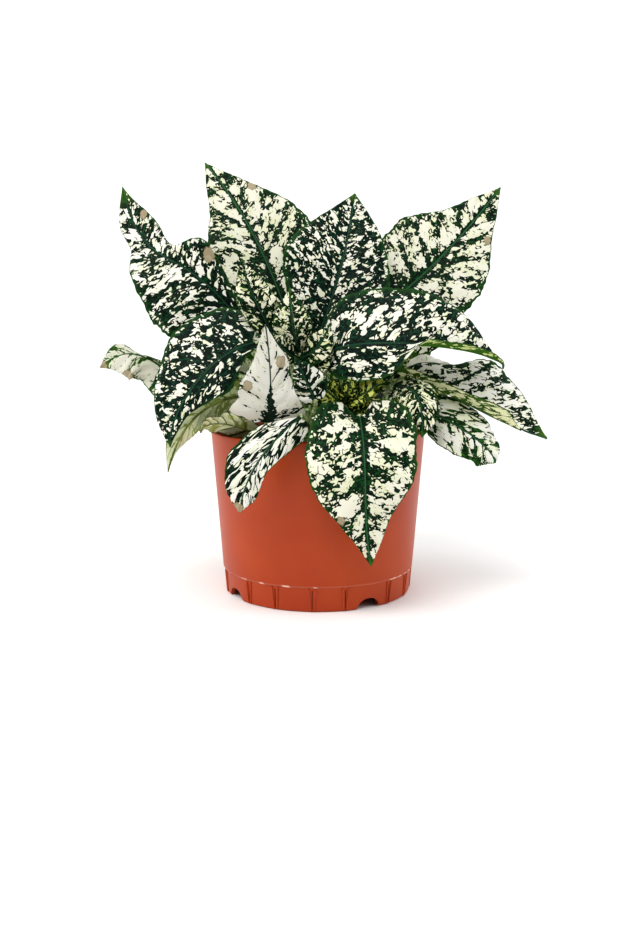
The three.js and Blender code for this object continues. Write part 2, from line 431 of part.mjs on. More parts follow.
const LEAVES = {
  leaf_upper_left: {
    from: ['left', 0.9], color: SPECKLED,
    rib: [[-36, -10, 130], [-62, -10, 156], [-81, -3, 168], [-95, 8, 197]], face: [-0.1, -0.9, 0.4],
    edge: [[15.5, 25.5, 30.5, 30.5, 29, 23.5, 17, 8, 7], [2, 5, 9.5, 13.5, 15.5, 8, 8, 10, 8]],
    fold: [8, 18], wave: [3, 2.2],
  },
  leaf_upper_back: {
    from: ['middle', 0.8], color: CREAM, rib: [[-16, 7, 138], [-35, 20, 180], [-58, 36, 213]],
    face: [0, -0.95, 0.35],
    edge: [[10.5, 18.5, 23.5, 26, 25, 20, 13, 7.5], [13.5, 22.5, 27.5, 29.5, 28.5, 24, 14, 6.5]],
    fold: [8, 8],
  },
  leaf_upper_middle: {
    from: ['middle', 0.93], color: SPECKLED, rib: [[0, -8, 125], [11, -1, 159], [18, 10, 194]],
    face: [0.05, -0.95, 0.3],
    edge: [[7.5, 14, 20, 24.5, 28, 27, 21.5, 11], [8.5, 15.5, 21.5, 25, 25.5, 23, 17.5, 10]],
    fold: [18, 14],
  },
  leaf_upper_right: {
    from: ['right', 0.95], color: CREAM, rib: [[41, 2, 146], [66, 12, 169], [92, 24, 199]],
    face: [0, -0.95, 0.4],
    edge: [[14, 23.5, 28, 28.5, 28.5, 22.5, 15, 8], [13, 22.5, 27.5, 28, 26, 21, 13, 7]],
    fold: [8, 10],
  },
  leaf_broad_right: {
    from: ['front', 0.8], color: SPECKLED,
    rib: [[5, -27, 117], [27, -40, 122], [64, -41, 119], [85, -28, 110]], face: [0.1, -0.82, 0.55],
    edge: [[5, 16.5, 26, 29, 28, 25, 17.5, 1.5], [0.5, 7.5, 15, 17.5, 15, 8, 5, 3]],
    fold: [15, -15], bend: [-20, -30], close: [0, 110], shut: [0.36, 0.56], lobe: 14,
  },
  leaf_broad_left: {
    from: ['left', 0.84], color: DARK,
    rib: [[-29, -32, 122], [-46, -46, 113], [-60, -52, 95], [-66, -46, 76]],
    face: [-0.15, -0.8, 0.55],
    edge: [[1, 4.5, 7, 11, 14, 10, 4.5, 3], [18, 24.5, 25, 25, 23.5, 19, 13.5, 7.5]],
    fold: [-5, 15], bend: [-35, -18], lobe: [6, 12],
  },
  leaf_front: {
    from: ['front', 0.6], color: CREAM,
    rib: [[18, -47, 90], [19, -71, 71], [20, -68, 48], [23, -60, 25]], face: [0, -0.95, 0.35],
    edge: [[14, 20.5, 23, 22.5, 22, 17, 11, 6], [15, 20.5, 23, 25, 24, 20.5, 12, 5]],
    fold: [26, 26], bend: [-25, -25], close: [-20, -20], shut: [0.05, 0.4], lobe: 15,
  },
  leaf_front_left: {
    from: ['front_left', 0.9], color: PALE, rib: [[-8, -49, 90], [-26, -68, 72], [-34, -65, 50]],
    face: [0.1, -0.95, 0.3],
    edge: [[6.5, 9, 8.5, 7.5, 6.5, 5.5, 6, 5.5], [1, 4.5, 8.5, 11, 12.5, 13.5, 11, 7.5]],
    fold: [8, 0], bend: [-25, -30], lobe: 2,
  },
  leaf_pale_upright: {
    from: ['front_left', 0.7], color: PALE, rib: [[-23, -45, 87], [-21, -53, 105], [-23, -55, 130]],
    face: [0.05, -0.98, 0.15],
    edge: [[11.5, 17, 17, 14.5, 14.5, 12, 7.5, 4.5], [10.5, 15.5, 16, 13.5, 10.5, 9, 8.5, 4]],
    fold: [12, 0], lobe: 2,
  },
  leaf_pale_side: {
    from: ['front_left', 0.86], color: PALE, rib: [[-2, -40, 97], [-6, -41, 106], [-11, -40, 116]],
    face: [0.2, -0.95, 0.1], wide: [7, 9], fold: [12, 12], belly: 0.35, lobe: 2,
  },
  leaf_right_small: {
    from: ['front_right', 0.7], color: SPECKLED,
    rib: [[34, -36, 102], [43, -48, 99], [45, -53, 81]], face: [0.1, -0.8, 0.6],
    edge: [[1, 4.5, 8, 10, 9, 9, 9.5, 6.5], [5, 7.5, 8, 7.5, 8, 9, 8.5, 5]], fold: [5, -5],
    bend: [-20, -30],
  },
  leaf_right_long: {
    from: ['front_right', 0.95], color: CREAM,
    rib: [[40, -22, 106], [58, -30, 100], [79, -33, 89], [106, -30, 78]], face: [0.1, -0.8, 0.6],
    edge: [[5.5, 9.5, 12.5, 16, 23, 26, 23.5, 16], [8, 10, 8, 6.5, 8.5, 12.5, 11, 0.5]],
    fold: [15, 80], bend: [-20, 0],
  },
  leaf_right_low: {
    from: ['front_right', 0.6], color: CREAM, rib: [[48, -28, 92], [70, -40, 80], [80, -40, 68]],
    face: [0.15, -0.8, 0.55],
    edge: [[8, 11.5, 13, 13.5, 11.5, 9.5, 8, 5.5], [3.5, 7.5, 11, 13, 12.5, 10.5, 9.5, 8.5]],
    fold: [12, -5],
  },
  leaf_right_behind: {
    from: ['right', 0.6], color: SPECKLED, rib: [[40, -4, 104], [53, -5, 110], [68, -4, 109]],
    face: [0.1, -0.85, 0.5], wide: [7, 8], fold: [10, 0],
  },
  leaf_left_long: {
    from: ['left', 0.62], color: PALE,
    rib: [[-44, -4, 102], [-65, -10, 103], [-82, -15, 115], [-103, -18, 110]],
    face: [0.1, -0.9, 0.4],
    edge: [[4.5, 9, 12.5, 15, 15.5, 13, 10.5, 12, 11.5], [2, 4, 6, 7.5, 7.5, 5, 1.5, 1, 6.5]],
    fold: [0, 5], wave: [1.6, 3],
  },
  leaf_left_behind: {
    from: ['left', 0.7], color: SPECKLED, rib: [[-46, -20, 108], [-64, -25, 110], [-79, -24, 100]],
    face: [-0.1, -0.8, 0.6], wide: [9, 9], fold: [5, 5],
  },
  leaf_left_under: {
    from: ['left', 0.5], color: LIME, rib: [[-36, -26, 98], [-57, -36, 88], [-69, -36, 63]],
    face: [-0.5, 0.8, 0.3],
    edge: [[6.5, 7.5, 7, 7.5, 7.5, 8, 7.5, 3.5], [5, 8, 9, 8.5, 7, 6.5, 6, 1.5]], fold: [15, 15],
  },
  leaf_rim_left: {
    from: ['left', 0.42], color: LIME, rib: [[-30, -25, 81], [-45, -33, 86], [-54, -40, 83]],
    face: [0, 0.6, 0.8], edge: [[4, 5.5, 7, 8, 8.5, 8, 7.5, 7], [7, 9.5, 11, 12, 10.5, 8.5, 7, 7]],
    fold: [10, 10],
  },
  leaf_back_high_left: {
    from: ['back_left', 0.95], color: SPECKLED,
    rib: [[-28, 42, 131], [-22, 55, 154], [-18, 60, 178]], face: [0, -0.95, 0.4], wide: [21, 17],
    rings: BACK_RINGS, fold: [10, 10],
  },
  leaf_back_high_right: {
    from: ['back_right', 0.95], color: CREAM, rib: [[30, 44, 131], [39, 56, 148], [48, 62, 166]],
    face: [0, -0.95, 0.4], wide: [15, 15], rings: BACK_RINGS, fold: [10, 10],
  },
  leaf_back_left: {
    from: ['back_left', 0.85], color: CREAM, rib: [[-38, 46, 112], [-50, 60, 119], [-64, 67, 98]],
    face: [-0.4, 0.7, 0.6], wide: [19, 19], rings: BACK_RINGS, fold: [5, 5],
  },
  leaf_back_right: {
    from: ['back_right', 0.85], color: SPECKLED, rib: [[35, 49, 112], [49, 61, 119], [62, 67, 98]],
    face: [0.4, 0.7, 0.6], wide: [19, 19], rings: BACK_RINGS, fold: [5, 5],
  },
  leaf_back_middle: {
    from: ['middle', 0.7], color: SPECKLED, rib: [[4, 28, 121], [5, 52, 136], [4, 72, 121]],
    face: [0, 0.75, 0.65], wide: [16, 16], rings: BACK_RINGS, fold: [8, 8],
  },
  leaf_back_low_middle: {
    from: ['back_right', 0.4], color: CREAM, rib: [[4, 44, 90], [0, 63, 88], [-3, 70, 62]],
    face: [0, 0.6, 0.8], wide: [17, 17], rings: BACK_RINGS, fold: [5, 5],
  },
  leaf_back_low_left: {
    from: ['back_left', 0.55], color: SPECKLED, rib: [[-32, 44, 90], [-43, 61, 86], [-48, 67, 60]],
    face: [-0.3, 0.6, 0.7], wide: [18, 18], rings: BACK_RINGS, fold: [5, 5],
  },
  leaf_back_low_right: {
    from: ['back_right', 0.6], color: CREAM, rib: [[28, 48, 92], [38, 64, 88], [44, 70, 62]],
    face: [0.3, 0.6, 0.7], wide: [18, 18], rings: BACK_RINGS, fold: [5, 5],
  },
  leaf_side_left: {
    from: ['back_left', 0.7], color: CREAM, rib: [[-41, 26, 102], [-60, 33, 106], [-77, 38, 84]],
    face: [-0.6, 0.1, 0.8], wide: [17, 17], rings: BACK_RINGS, fold: [5, 5],
  },
  leaf_side_right: {
    from: ['back_right', 0.7], color: SPECKLED, rib: [[32, 27, 97], [57, 37, 101], [73, 43, 80]],
    face: [0.6, 0.2, 0.8], wide: [16, 16], rings: BACK_RINGS, fold: [5, 5],
  },
  leaf_side_high_left: {
    from: ['left', 0.78], color: SPECKLED, rib: [[-44, 6, 110], [-60, 14, 117], [-76, 20, 97]],
    face: [-0.5, 0, 0.85], wide: [15, 15], rings: BACK_RINGS, fold: [5, 5],
  },
  leaf_side_high_right: {
    from: ['right', 0.85], color: CREAM, rib: [[48, 12, 120], [64, 18, 130], [80, 24, 119]],
    face: [0.5, 0, 0.85], wide: [15, 15], rings: BACK_RINGS, fold: [5, 5],
  },
  leaf_side_low_left: {
    from: ['back_left', 0.5], color: SPECKLED, rib: [[-44, 14, 90], [-58, 18, 91], [-69, 20, 80]],
    face: [-0.4, -0.1, 0.9], wide: [13, 13], rings: BACK_RINGS, fold: [8, 8],
  },
  leaf_side_low_right: {
    from: ['right', 0.45], color: SPECKLED, rib: [[48, 10, 92], [62, 12, 92], [74, 14, 79]],
    face: [0.4, -0.1, 0.9], wide: [13, 13], rings: BACK_RINGS, fold: [8, 8],
  },
  leaf_back_inner_left: {
    from: ['back_left', 0.6], color: CREAM, rib: [[-14, 44, 102], [-19, 62, 112], [-24, 74, 98]],
    face: [-0.1, 0.85, 0.5], wide: [16, 16], rings: BACK_RINGS, fold: [5, 5],
  },
  leaf_back_inner_right: {
    from: ['back_right', 0.55], color: CREAM, rib: [[13, 46, 102], [17, 64, 112], [22, 74, 96]],
    face: [0.1, 0.85, 0.5], wide: [15, 15], rings: BACK_RINGS, fold: [5, 5],
  },
  leaf_inner_left: {
    from: ['left', 0.66], color: CREAM, rib: [[-20, 6, 111], [-30, 13, 125], [-42, 20, 121]],
    face: [0, -0.2, 0.98], wide: [13, 13], rings: BACK_RINGS, fold: [8, 8],
  },
  leaf_inner_right: {
    from: ['middle', 0.5], color: SPECKLED, rib: [[12, 8, 110], [20, 15, 124], [30, 24, 120]],
    face: [0, -0.2, 0.98], wide: [13, 13], rings: BACK_RINGS, fold: [8, 8],
  },
  leaf_inner_front_left: {
    from: ['inner', 0.75], color: SPECKLED, rib: [[-13, -15, 113], [-15, -11, 125], [-17, -5, 137]],
    face: [0, -0.8, 0.6], wide: [8, 8], rings: BACK_RINGS, fold: [8, 8],
  },
  leaf_inner_front_right: {
    from: ['front', 0.95], color: SPECKLED, rib: [[20, -19, 106], [30, -12, 119], [41, -7, 126]],
    face: [0, -0.6, 0.8], wide: [15, 15], rings: BACK_RINGS, fold: [8, 8],
  },
  leaf_young_left: {
    from: ['left', 0.97], color: SPECKLED, rib: [[-21, -25, 126], [-30, -29, 144], [-35, -27, 160]],
    face: [0.1, -0.95, 0.1], wide: [8, 9], fold: [10, 15],
  },
};

// Build
place('pot', geometryOf(potBody()), POT_COLOR, POT_ROUGHNESS);

const soilFloor = FLOOR_UNDER + FLOOR_THICK + GAP;
const soilProfile = [
  [0, soilFloor], [wallRadius(soilFloor) - POT_WALL - BAND_DEPTH - GAP, soilFloor],
  [wallRadius(SOIL_TOP) - POT_WALL - GAP - 0.1, SOIL_TOP],
  [SOIL_SHOULDER, SOIL_TOP + SOIL_DOME * 0.7],
  [SOIL_CROWN, SOIL_TOP + SOIL_DOME], [0, SOIL_TOP + SOIL_DOME * 0.9],
];
const outline = soilProfile.map(([x, y]) => new THREE.Vector2(x, y));
const heap = new THREE.LatheGeometry(outline, SOIL_SIDES);
heap.rotateX(Math.PI / 2);
let soil = solid(heap);
for (const stem of Object.values(STEMS)) soil = soil.subtract(stemBody(stem, GAP));
place('soil', geometryOf(soil), SOIL_COLOR, SOIL_ROUGHNESS);

for (const [name, stem] of Object.entries(STEMS)) {
  let body = stemBody(stem);
  for (const leaf of stem.young ?? []) body = body.add(solid(youngBody(leaf)));
  place(`stem_${name}`, geometryOf(body), STEM_COLOR, STEM_ROUGHNESS);
}
for (const [name, leaf] of Object.entries(LEAVES)) {
  const body = leafBody(leaf, leaf.rings ?? BLADE_RINGS, BLADE_COLUMNS);
  place(name, body, leaf.color, LEAF_ROUGHNESS);
}

export default part;
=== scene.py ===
"""Potted polka dot plant: a moulded plastic nursery pot, its soil, nine stems and the speckled
leaves that they bear, in a plain pale studio. The specs of stems and leaves are in millimetres,
as are all sizes in capitals unless they say otherwise; meshes are in metres, +Z up, and the side
that faces -Y is the front."""

import math

import bmesh
import bpy
import numpy as np
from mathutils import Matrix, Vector, noise


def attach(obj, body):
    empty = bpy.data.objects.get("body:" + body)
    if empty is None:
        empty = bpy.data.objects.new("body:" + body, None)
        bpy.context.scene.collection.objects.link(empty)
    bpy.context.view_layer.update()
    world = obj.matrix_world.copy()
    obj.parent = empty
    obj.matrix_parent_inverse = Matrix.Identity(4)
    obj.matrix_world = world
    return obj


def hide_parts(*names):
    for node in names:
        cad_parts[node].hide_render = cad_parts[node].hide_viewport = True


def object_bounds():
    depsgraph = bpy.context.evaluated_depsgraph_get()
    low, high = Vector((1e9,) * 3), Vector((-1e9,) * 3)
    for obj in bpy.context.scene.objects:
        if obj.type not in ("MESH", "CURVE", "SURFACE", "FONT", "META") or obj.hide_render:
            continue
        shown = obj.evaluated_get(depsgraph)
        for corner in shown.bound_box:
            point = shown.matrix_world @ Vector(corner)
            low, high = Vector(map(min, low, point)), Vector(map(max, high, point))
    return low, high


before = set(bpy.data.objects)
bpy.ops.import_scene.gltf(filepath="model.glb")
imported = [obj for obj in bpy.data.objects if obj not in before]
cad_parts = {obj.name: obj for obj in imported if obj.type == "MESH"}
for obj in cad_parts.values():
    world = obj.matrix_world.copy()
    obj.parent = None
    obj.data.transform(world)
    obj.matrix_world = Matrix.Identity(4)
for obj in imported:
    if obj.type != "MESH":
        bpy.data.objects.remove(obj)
cad_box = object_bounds()

MM = 0.001  # metres in a millimetre

# Pot
POT_HEIGHT = 79
RIM_RADIUS = 52.5
FOOT_RADIUS = 46.5
POT_WALL = 1.4
BAND_HEIGHT = 11.9  # the band round the foot, which is sunk by the next
BAND_DEPTH = 0.6
FLOOR_UNDER = 5.8  # how high above the ground the floor's under side is
FLOOR_THICK = 1.4
FOOT_WALL = 2.0
NOTCH_WIDTH = 13
NOTCH_HEIGHT = 4.8
NOTCH_FIRST = -149.5  # degrees round the pot from the front, then every quarter turn
NOTCH_COUNT = 4
RIB_NEAR = 15  # degrees from a notch to the ribs beside it
RIB_FAR = 34
RIDGE_WIDTH = 0.95  # a rib is a pair of ridges with a slot between them
RIDGE_AWAY = 1.2  # from the rib's middle to a ridge's, in ridge widths
RIDGE_SPLAY = 0.7  # how much farther it is at the rib's top than at its foot
SLOT_WIDTH = 0.45
SLOT_DEPTH = 0.4
RIB_LENGTH = 10.6
DRAIN_RADIUS = 4
DRAIN_RING = 27  # how far from the axis the drain holes are
FOOT_EDGE = 0.4  # how far the foot's outer corner is rounded off
STEP_EDGE = 0.12  # and the edge of the step above the foot band
NOTCH_SHOULDER = 0.92  # width of a notch where its arch starts, as a share of its foot
POT_SIDES = 192
WALL_LEAN = math.atan2(RIM_RADIUS - FOOT_RADIUS, POT_HEIGHT)  # radians

# Soil
SOIL_TOP = 71
SOIL_DOME = 2.5  # how much higher it is in the middle
SOIL_SUNK = 0.9  # how far the filling's edge has settled below SOIL_TOP
SOIL_GAP = 0.35  # between the filling and the pot's wall
CRUMB_SIZE = 1.1
GRIT_SIZE = 1.5

# Stems and leaves
STEM_FOOT = 46  # how high the stems start, down in the soil
STEM_TAPER = 0.32  # how much thinner a stem is at its tip, as a share
KNUCKLES = 4.5  # half the count of knuckles on a stem
KNUCKLE_SWELL = 0.22  # how much thicker a stem is there, as a share
STEM_SIDES = 20
STEM_ROWS = 90
PETIOLE = 1.15  # radius of a leaf's stalk
PETIOLE_ROWS = 12
PETIOLE_SUNK = 0.35  # how deep a stalk is rooted in the stem's skin
BLADE = 0.5  # thickness at the middle, drawn out thin at the margin
BLADE_START = 0.015  # where along the midrib the first loop of a blade lies
BLADE_END = 0.992
BLADE_SPREAD = 1.15  # above 1 brings the loops closer together near the base
EDGE_SPREAD = 0.7  # below 1 does the same for the measured half widths
LATERAL_VEINS = 7  # on each side of the midrib
RAGGED = 0.008  # unevenness of a leaf's margin, as a share of its half width
LEAF_GRID = (96, 48)  # rows and columns of a leaf's upper side
HIDDEN_GRID = (60, 32)  # the same for the leaves at the back, the sides and inside
YOUNG_GRID = (30, 16)
YOUNG_START = 0.06
YOUNG_STALK = 0.5
YOUNG_FOOT = 0.7  # radius of a young leaf where it grows out of the stem
YOUNG_SUNK = 1.2
PUCKER = 0.45  # how far the tissue rises between two lateral veins
VEIN_LEAN = 50  # degrees between the midrib and a lateral vein
VEIN_GROOVE = 0.12
VEIN_WIDTH = 0.55
MIDRIB_GROOVE = 0.3
MIDRIB_WIDTH = 0.8
FAR_FROM_VEIN = 9.0  # on stems, which have no leaf veins

# Camera, which stands where the photograph was taken from
SENSOR = 36
LENS = 34.84
EYE = (-3.9, -443.8, 125.4)
PITCH = 8.21  # degrees down from level

STEMS = {
    "middle": dict(way=((-2, 2), (-4, 3), (-4, 2)), top=136, thick=1.9, young=(
        dict(rib=((-4, 2, 137), (-6, 2, 146), (-9, 3, 155)), face=(0, -0.9, 0.3), wide=4),
    )),
    "inner": dict(way=((-5, -10), (-8, -18), (-9, -24)), top=117, thick=1.6, young=(
        dict(rib=((-9, -25, 118), (-12, -31, 131), (-13, -29, 147)), face=(0, -0.95, 0.2), wide=9),
        dict(rib=((-8, -26, 115), (0, -33, 121), (5, -34, 131)), face=(0.1, -0.9, 0.4), wide=(6, 7)),
        dict(rib=((-10, -26, 115), (-17, -33, 120), (-22, -35, 127)), face=(-0.1, -0.9, 0.4), wide=6),
        dict(rib=((-8, -23, 109), (0, -30, 113), (7, -33, 119)), face=(0, -0.9, 0.4), wide=6),
    )),
    "left": dict(way=((-16, -10), (-22, -14), (-25, -16)), top=122, thick=1.8),
    "right": dict(way=((18, 4), (27, 5), (35, 4)), top=136, thick=1.8, young=(
        dict(rib=((35, 5, 137), (33, 10, 145), (30, 12, 154)), face=(0, -0.8, 0.6), wide=4),
        dict(rib=((36, 4, 137), (43, 9, 140), (50, 11, 146)), face=(0, -0.7, 0.7), wide=4),
    )),
    "front": dict(way=((8, -18), (10, -24), (12, -30)), top=95, thick=1.8, young=(
        dict(rib=((11, -31, 95), (5, -34, 99), (0, -35, 105)), face=(0, -0.8, 0.6), wide=(7, 9)),
        dict(rib=((13, -32, 95), (20, -37, 99), (27, -40, 104)), face=(0, -0.8, 0.6), wide=(9, 5)),
        dict(rib=((12, -33, 95), (13, -37, 100), (15, -39, 107)), face=(0, -0.9, 0.3), wide=5),
        dict(rib=((13, -31, 96), (22, -33, 101), (33, -35, 104)), face=(0, -0.9, 0.4), wide=(8, 5.5)),
        dict(rib=((11, -30, 89), (4, -31, 92), (-4, -31, 96)), face=(0, -0.9, 0.4), wide=(8, 7)),
        dict(rib=((13, -31, 89), (21, -32, 92), (28, -32, 95)), face=(0, -0.9, 0.4), wide=(7, 6)),
    )),
    "front_left": dict(way=((-8, -24), (-7, -34), (-5, -41)), top=92, thick=2.0),
    "front_right": dict(way=((24, -12), (30, -16), (34, -19)), top=106, thick=1.7, young=(
        dict(rib=((34, -18, 107), (38, -14, 112), (44, -12, 116)), face=(0, -0.8, 0.6), wide=4),
        dict(rib=((34, -20, 107), (34, -14, 113), (31, -10, 118)), face=(0.2, -0.7, 0.7), wide=4),
    )),
    "back_left": dict(way=((-14, 18), (-23, 27), (-30, 34)), top=122, thick=1.8, young=(
        dict(rib=((-30, 33, 123), (-37, 29, 130), (-44, 27, 135)), face=(0, 0.3, 0.95), wide=5),
        dict(rib=((-29, 33, 123), (-22, 30, 129), (-16, 29, 133)), face=(0, 0.3, 0.95), wide=5),
    )),
    "back_right": dict(way=((12, 20), (19, 30), (25, 38)), top=124, thick=1.8, young=(
        dict(rib=((26, 37, 125), (32, 33, 132), (38, 30, 136)), face=(0, 0.3, 0.95), wide=5),
    )),
}

